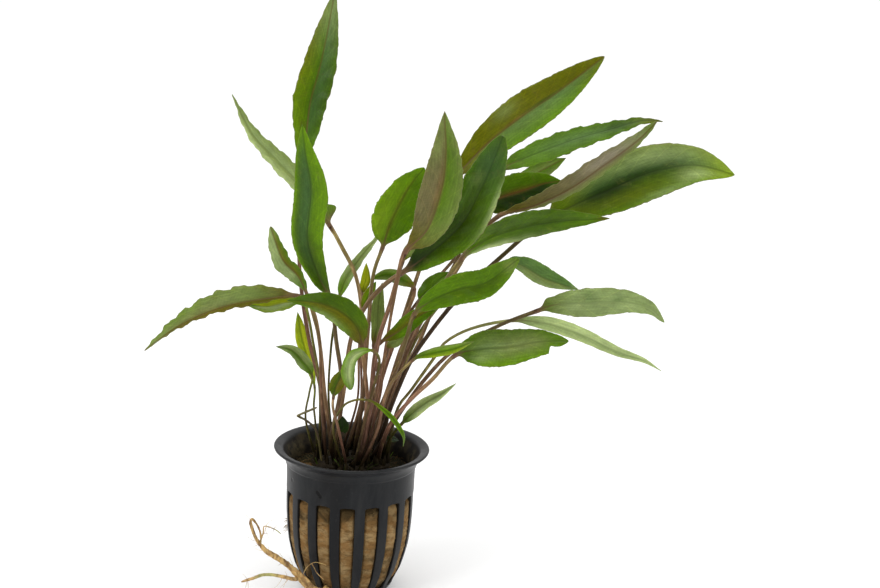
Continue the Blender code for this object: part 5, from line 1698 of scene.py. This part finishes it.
def stalk_material(colours):
    """Dead stalk: streaked brown."""
    material, tree, shader = start_material("stalk_brown")
    streaks = tree.noise(tree.place((1.0, 1.0, 0.3)), 420.0, 4.0)
    base = tree.mix(tree.remap(streaks, 0.35, 0.66), rgba(colours.stalk_brown), rgba(colours.stalk_green))
    mottled = tree.group("Mottling", Colour=base, Patch_Colour=(0.03, 0.018, 0.008, 1.0), Scale=300.0,
                         Amount=0.5, Patches=0.5)
    tree.feed(shader["Base Color"], mottled["Colour"])
    tree.feed(shader["Roughness"], tree.plus(0.4, tree.times(streaks, 0.3), clamp=True))
    tree.feed(shader["Normal"], bump(tree, streaks, 0.7, 0.2))
    return material


def build_kinked_stalk(material):
    """Thin broken stalk that bends over the pot's lip and turns back on itself."""
    radius, route = KINKED_STALK
    line, radii, reach = strand_line([(radius, point) for point in route], 0.3)
    body = Strands()
    add_knobbly(body, line, radii, 0.4 + reach * 0.01, sides=12)
    settle(body.piece("stalk_kinked_fine", material), "stalk_brown", "stalk_kinked")


# Studio and operators, in metres: the points that the lights and the camera aim at, and the lights' side
LIT_POINT = (0.028, 0.0, 0.107)
SEEN_POINT = (0.02817, 0.0, 0.10688)
LIGHT_SIZE = 0.6


class PLANT_OT_leaves(bpy.types.Operator):
    """Build every leaf with its ruffled blade, midrib and stalk"""
    bl_idname = "plant.leaves"
    bl_label = "Leaves"

    def execute(self, context):
        settings, colours = context.scene.plant_leaves, context.scene.plant_colours
        materials = {slot: leaf_material(slot, settings) for slot in FINISHES}
        for number, leaf in enumerate(LEAVES):
            build_leaf(leaf, number, settings, colours, materials[leaf.tone])
        return {"FINISHED"}


class PLANT_OT_crowns(bpy.types.Operator):
    """Build the crowns that the stalks grow from, with their sheaths"""
    bl_idname = "plant.crowns"
    bl_label = "Crowns"

    def execute(self, context):
        material = crown_material(context.scene.plant_colours)
        for number, name in enumerate(CROWN_NODES):
            build_crown(name, number, material)
        return {"FINISHED"}


class PLANT_OT_kinked_stalk(bpy.types.Operator):
    """Build the thin broken stalk at the pot's lip"""
    bl_idname = "plant.kinked_stalk"
    bl_label = "Kinked Stalk"

    def execute(self, context):
        build_kinked_stalk(stalk_material(context.scene.plant_colours))
        return {"FINISHED"}


class PLANT_OT_rock_wool(bpy.types.Operator):
    """Build the rock wool plug with its loose fibres"""
    bl_idname = "plant.rock_wool"
    bl_label = "Rock Wool"

    def execute(self, context):
        build_wool(context.scene.plant_wool)
        return {"FINISHED"}


class PLANT_OT_pot(bpy.types.Operator):
    """Build the slotted net pot"""
    bl_idname = "plant.pot"
    bl_label = "Net Pot"

    def execute(self, context):
        build_pot(context.scene.plant_pot)
        return {"FINISHED"}


class PLANT_OT_roots(bpy.types.Operator):
    """Build the roots that have grown out of a slot"""
    bl_idname = "plant.roots"
    bl_label = "Roots"

    def execute(self, context):
        settings = context.scene.plant_roots
        material = root_material(settings)
        for number, name in enumerate(ROOTS):
            build_root(name, number, settings, material)
        return {"FINISHED"}


def soft_light(name, place, power):
    """Large soft light that points at the middle of the plant."""
    data = bpy.data.lights.new(name, "AREA")
    data.shape = "SQUARE"
    data.size = LIGHT_SIZE
    data.energy = power
    light = bpy.data.objects.new(name, data)
    light.location = place
    light.rotation_euler = (Vector(LIT_POINT) - Vector(place)).to_track_quat("-Z", "Y").to_euler()
    bpy.context.scene.collection.objects.link(light)


def lay_floor(settings):
    """White floor that the plant stands on."""
    mesh = bpy.data.meshes.new("floor")
    half = settings.floor_size / 2
    mesh.from_pydata([(-half, -half, 0), (half, -half, 0), (half, half, 0), (-half, half, 0)], [],
                     [(0, 1, 2, 3)])
    material, tree, shader = start_material("floor_paper")
    paper = tree.noise(tree.place(), 40.0, 3.0)
    tree.feed(shader["Base Color"], rgba(settings.floor))
    tree.feed(shader["Roughness"], tree.plus(0.7, tree.times(paper, 0.2)))
    shader["Specular IOR Level"].default_value = 0.2
    mesh.materials.append(material)
    floor = bpy.data.objects.new("floor", mesh)
    bpy.context.scene.collection.objects.link(floor)


def light_sky(settings):
    """White surroundings, bright overhead and behind, dim at the sides and in front."""
    world = bpy.data.worlds.new("studio")
    world.use_nodes = True
    background = world.node_tree.nodes["Background"]
    background.inputs["Color"].default_value = (1.0, 1.0, 1.0, 1.0)
    sky = Tree(world.node_tree)
    view = sky.node("ShaderNodeTexCoord").outputs["Generated"]
    way = sky.node("ShaderNodeSeparateXYZ", {0: view}).outputs
    bright = sky.math("MAXIMUM", sky.remap(way["Z"], 0.05, 0.75), sky.remap(way["Y"], -0.2, 0.7))
    sky.feed(background.inputs["Strength"], sky.node("ShaderNodeMapRange", {
        "Value": bright, "To Min": settings.horizon, "To Max": settings.sky}).outputs[0])
    bpy.context.scene.world = world
    bpy.context.scene.view_settings.view_transform = "Standard"


def place_camera(settings):
    """Camera in front, looking a little down and leaning a little."""
    data = bpy.data.cameras.new("camera")
    data.lens = settings.lens
    data.sensor_width = 36.0
    data.clip_start = 0.01
    camera = bpy.data.objects.new("camera", data)
    forward = Vector((0.0, math.cos(settings.pitch), -math.sin(settings.pitch)))
    level = Vector((1.0, 0.0, 0.0))
    up = level.cross(forward)
    right = level * math.cos(settings.roll) + up * math.sin(settings.roll)
    lifted = up * math.cos(settings.roll) - level * math.sin(settings.roll)
    turn = Matrix((right, lifted, -forward)).transposed().to_4x4()
    camera.matrix_world = Matrix.Translation(Vector(SEEN_POINT) - forward * settings.distance) @ turn
    bpy.context.scene.collection.objects.link(camera)
    bpy.context.scene.camera = camera


class PLANT_OT_studio(bpy.types.Operator):
    """Set up the floor, the soft lights and the camera"""
    bl_idname = "plant.studio"
    bl_label = "Studio"

    def execute(self, context):
        settings = context.scene.plant_stage
        lay_floor(settings)
        light_sky(settings)
        soft_light("key_light", (-0.75, -0.65, 0.85), settings.key)
        soft_light("fill_light", (0.95, -0.25, 0.55), settings.fill)
        place_camera(settings)
        return {"FINISHED"}


class PLANT_PT_panel(bpy.types.Panel):
    """Lists the plant's pieces and their settings"""
    bl_label = "Potted Cryptocoryne"
    bl_idname = "PLANT_PT_panel"
    bl_space_type = "VIEW_3D"
    bl_region_type = "UI"
    bl_category = "Aquarium Plant"

    def draw(self, context):
        for operator in OPERATORS:
            self.layout.operator(operator.bl_idname)
        for name, group in SETTINGS:
            box = self.layout.box()
            box.label(text=group.__doc__)
            for key in group.__annotations__:
                box.prop(getattr(context.scene, name), key)


SETTINGS = (("plant_leaves", LeafSettings), ("plant_colours", LeafColours), ("plant_pot", PotSettings),
            ("plant_wool", WoolSettings), ("plant_roots", RootSettings), ("plant_stage", StageSettings))
OPERATORS = (PLANT_OT_studio, PLANT_OT_pot, PLANT_OT_rock_wool, PLANT_OT_crowns, PLANT_OT_leaves,
             PLANT_OT_kinked_stalk, PLANT_OT_roots)


def register():
    """Add the settings, operators and panel to Blender."""
    for name, group in SETTINGS:
        bpy.utils.register_class(group)
        setattr(bpy.types.Scene, name, PointerProperty(type=group))
    for operator in OPERATORS:
        bpy.utils.register_class(operator)
    bpy.utils.register_class(PLANT_PT_panel)


def unregister():
    """Take them out again."""
    bpy.utils.unregister_class(PLANT_PT_panel)
    for operator in reversed(OPERATORS):
        bpy.utils.unregister_class(operator)
    for name, group in reversed(SETTINGS):
        delattr(bpy.types.Scene, name)
        bpy.utils.unregister_class(group)


def main():
    """Register, and build everything."""
    register()
    bpy.ops.plant.studio()
    bpy.ops.plant.pot()
    bpy.ops.plant.rock_wool()
    bpy.ops.plant.crowns()
    bpy.ops.plant.leaves()
    bpy.ops.plant.kinked_stalk()
    bpy.ops.plant.roots()


if __name__ == "__main__":
    main()
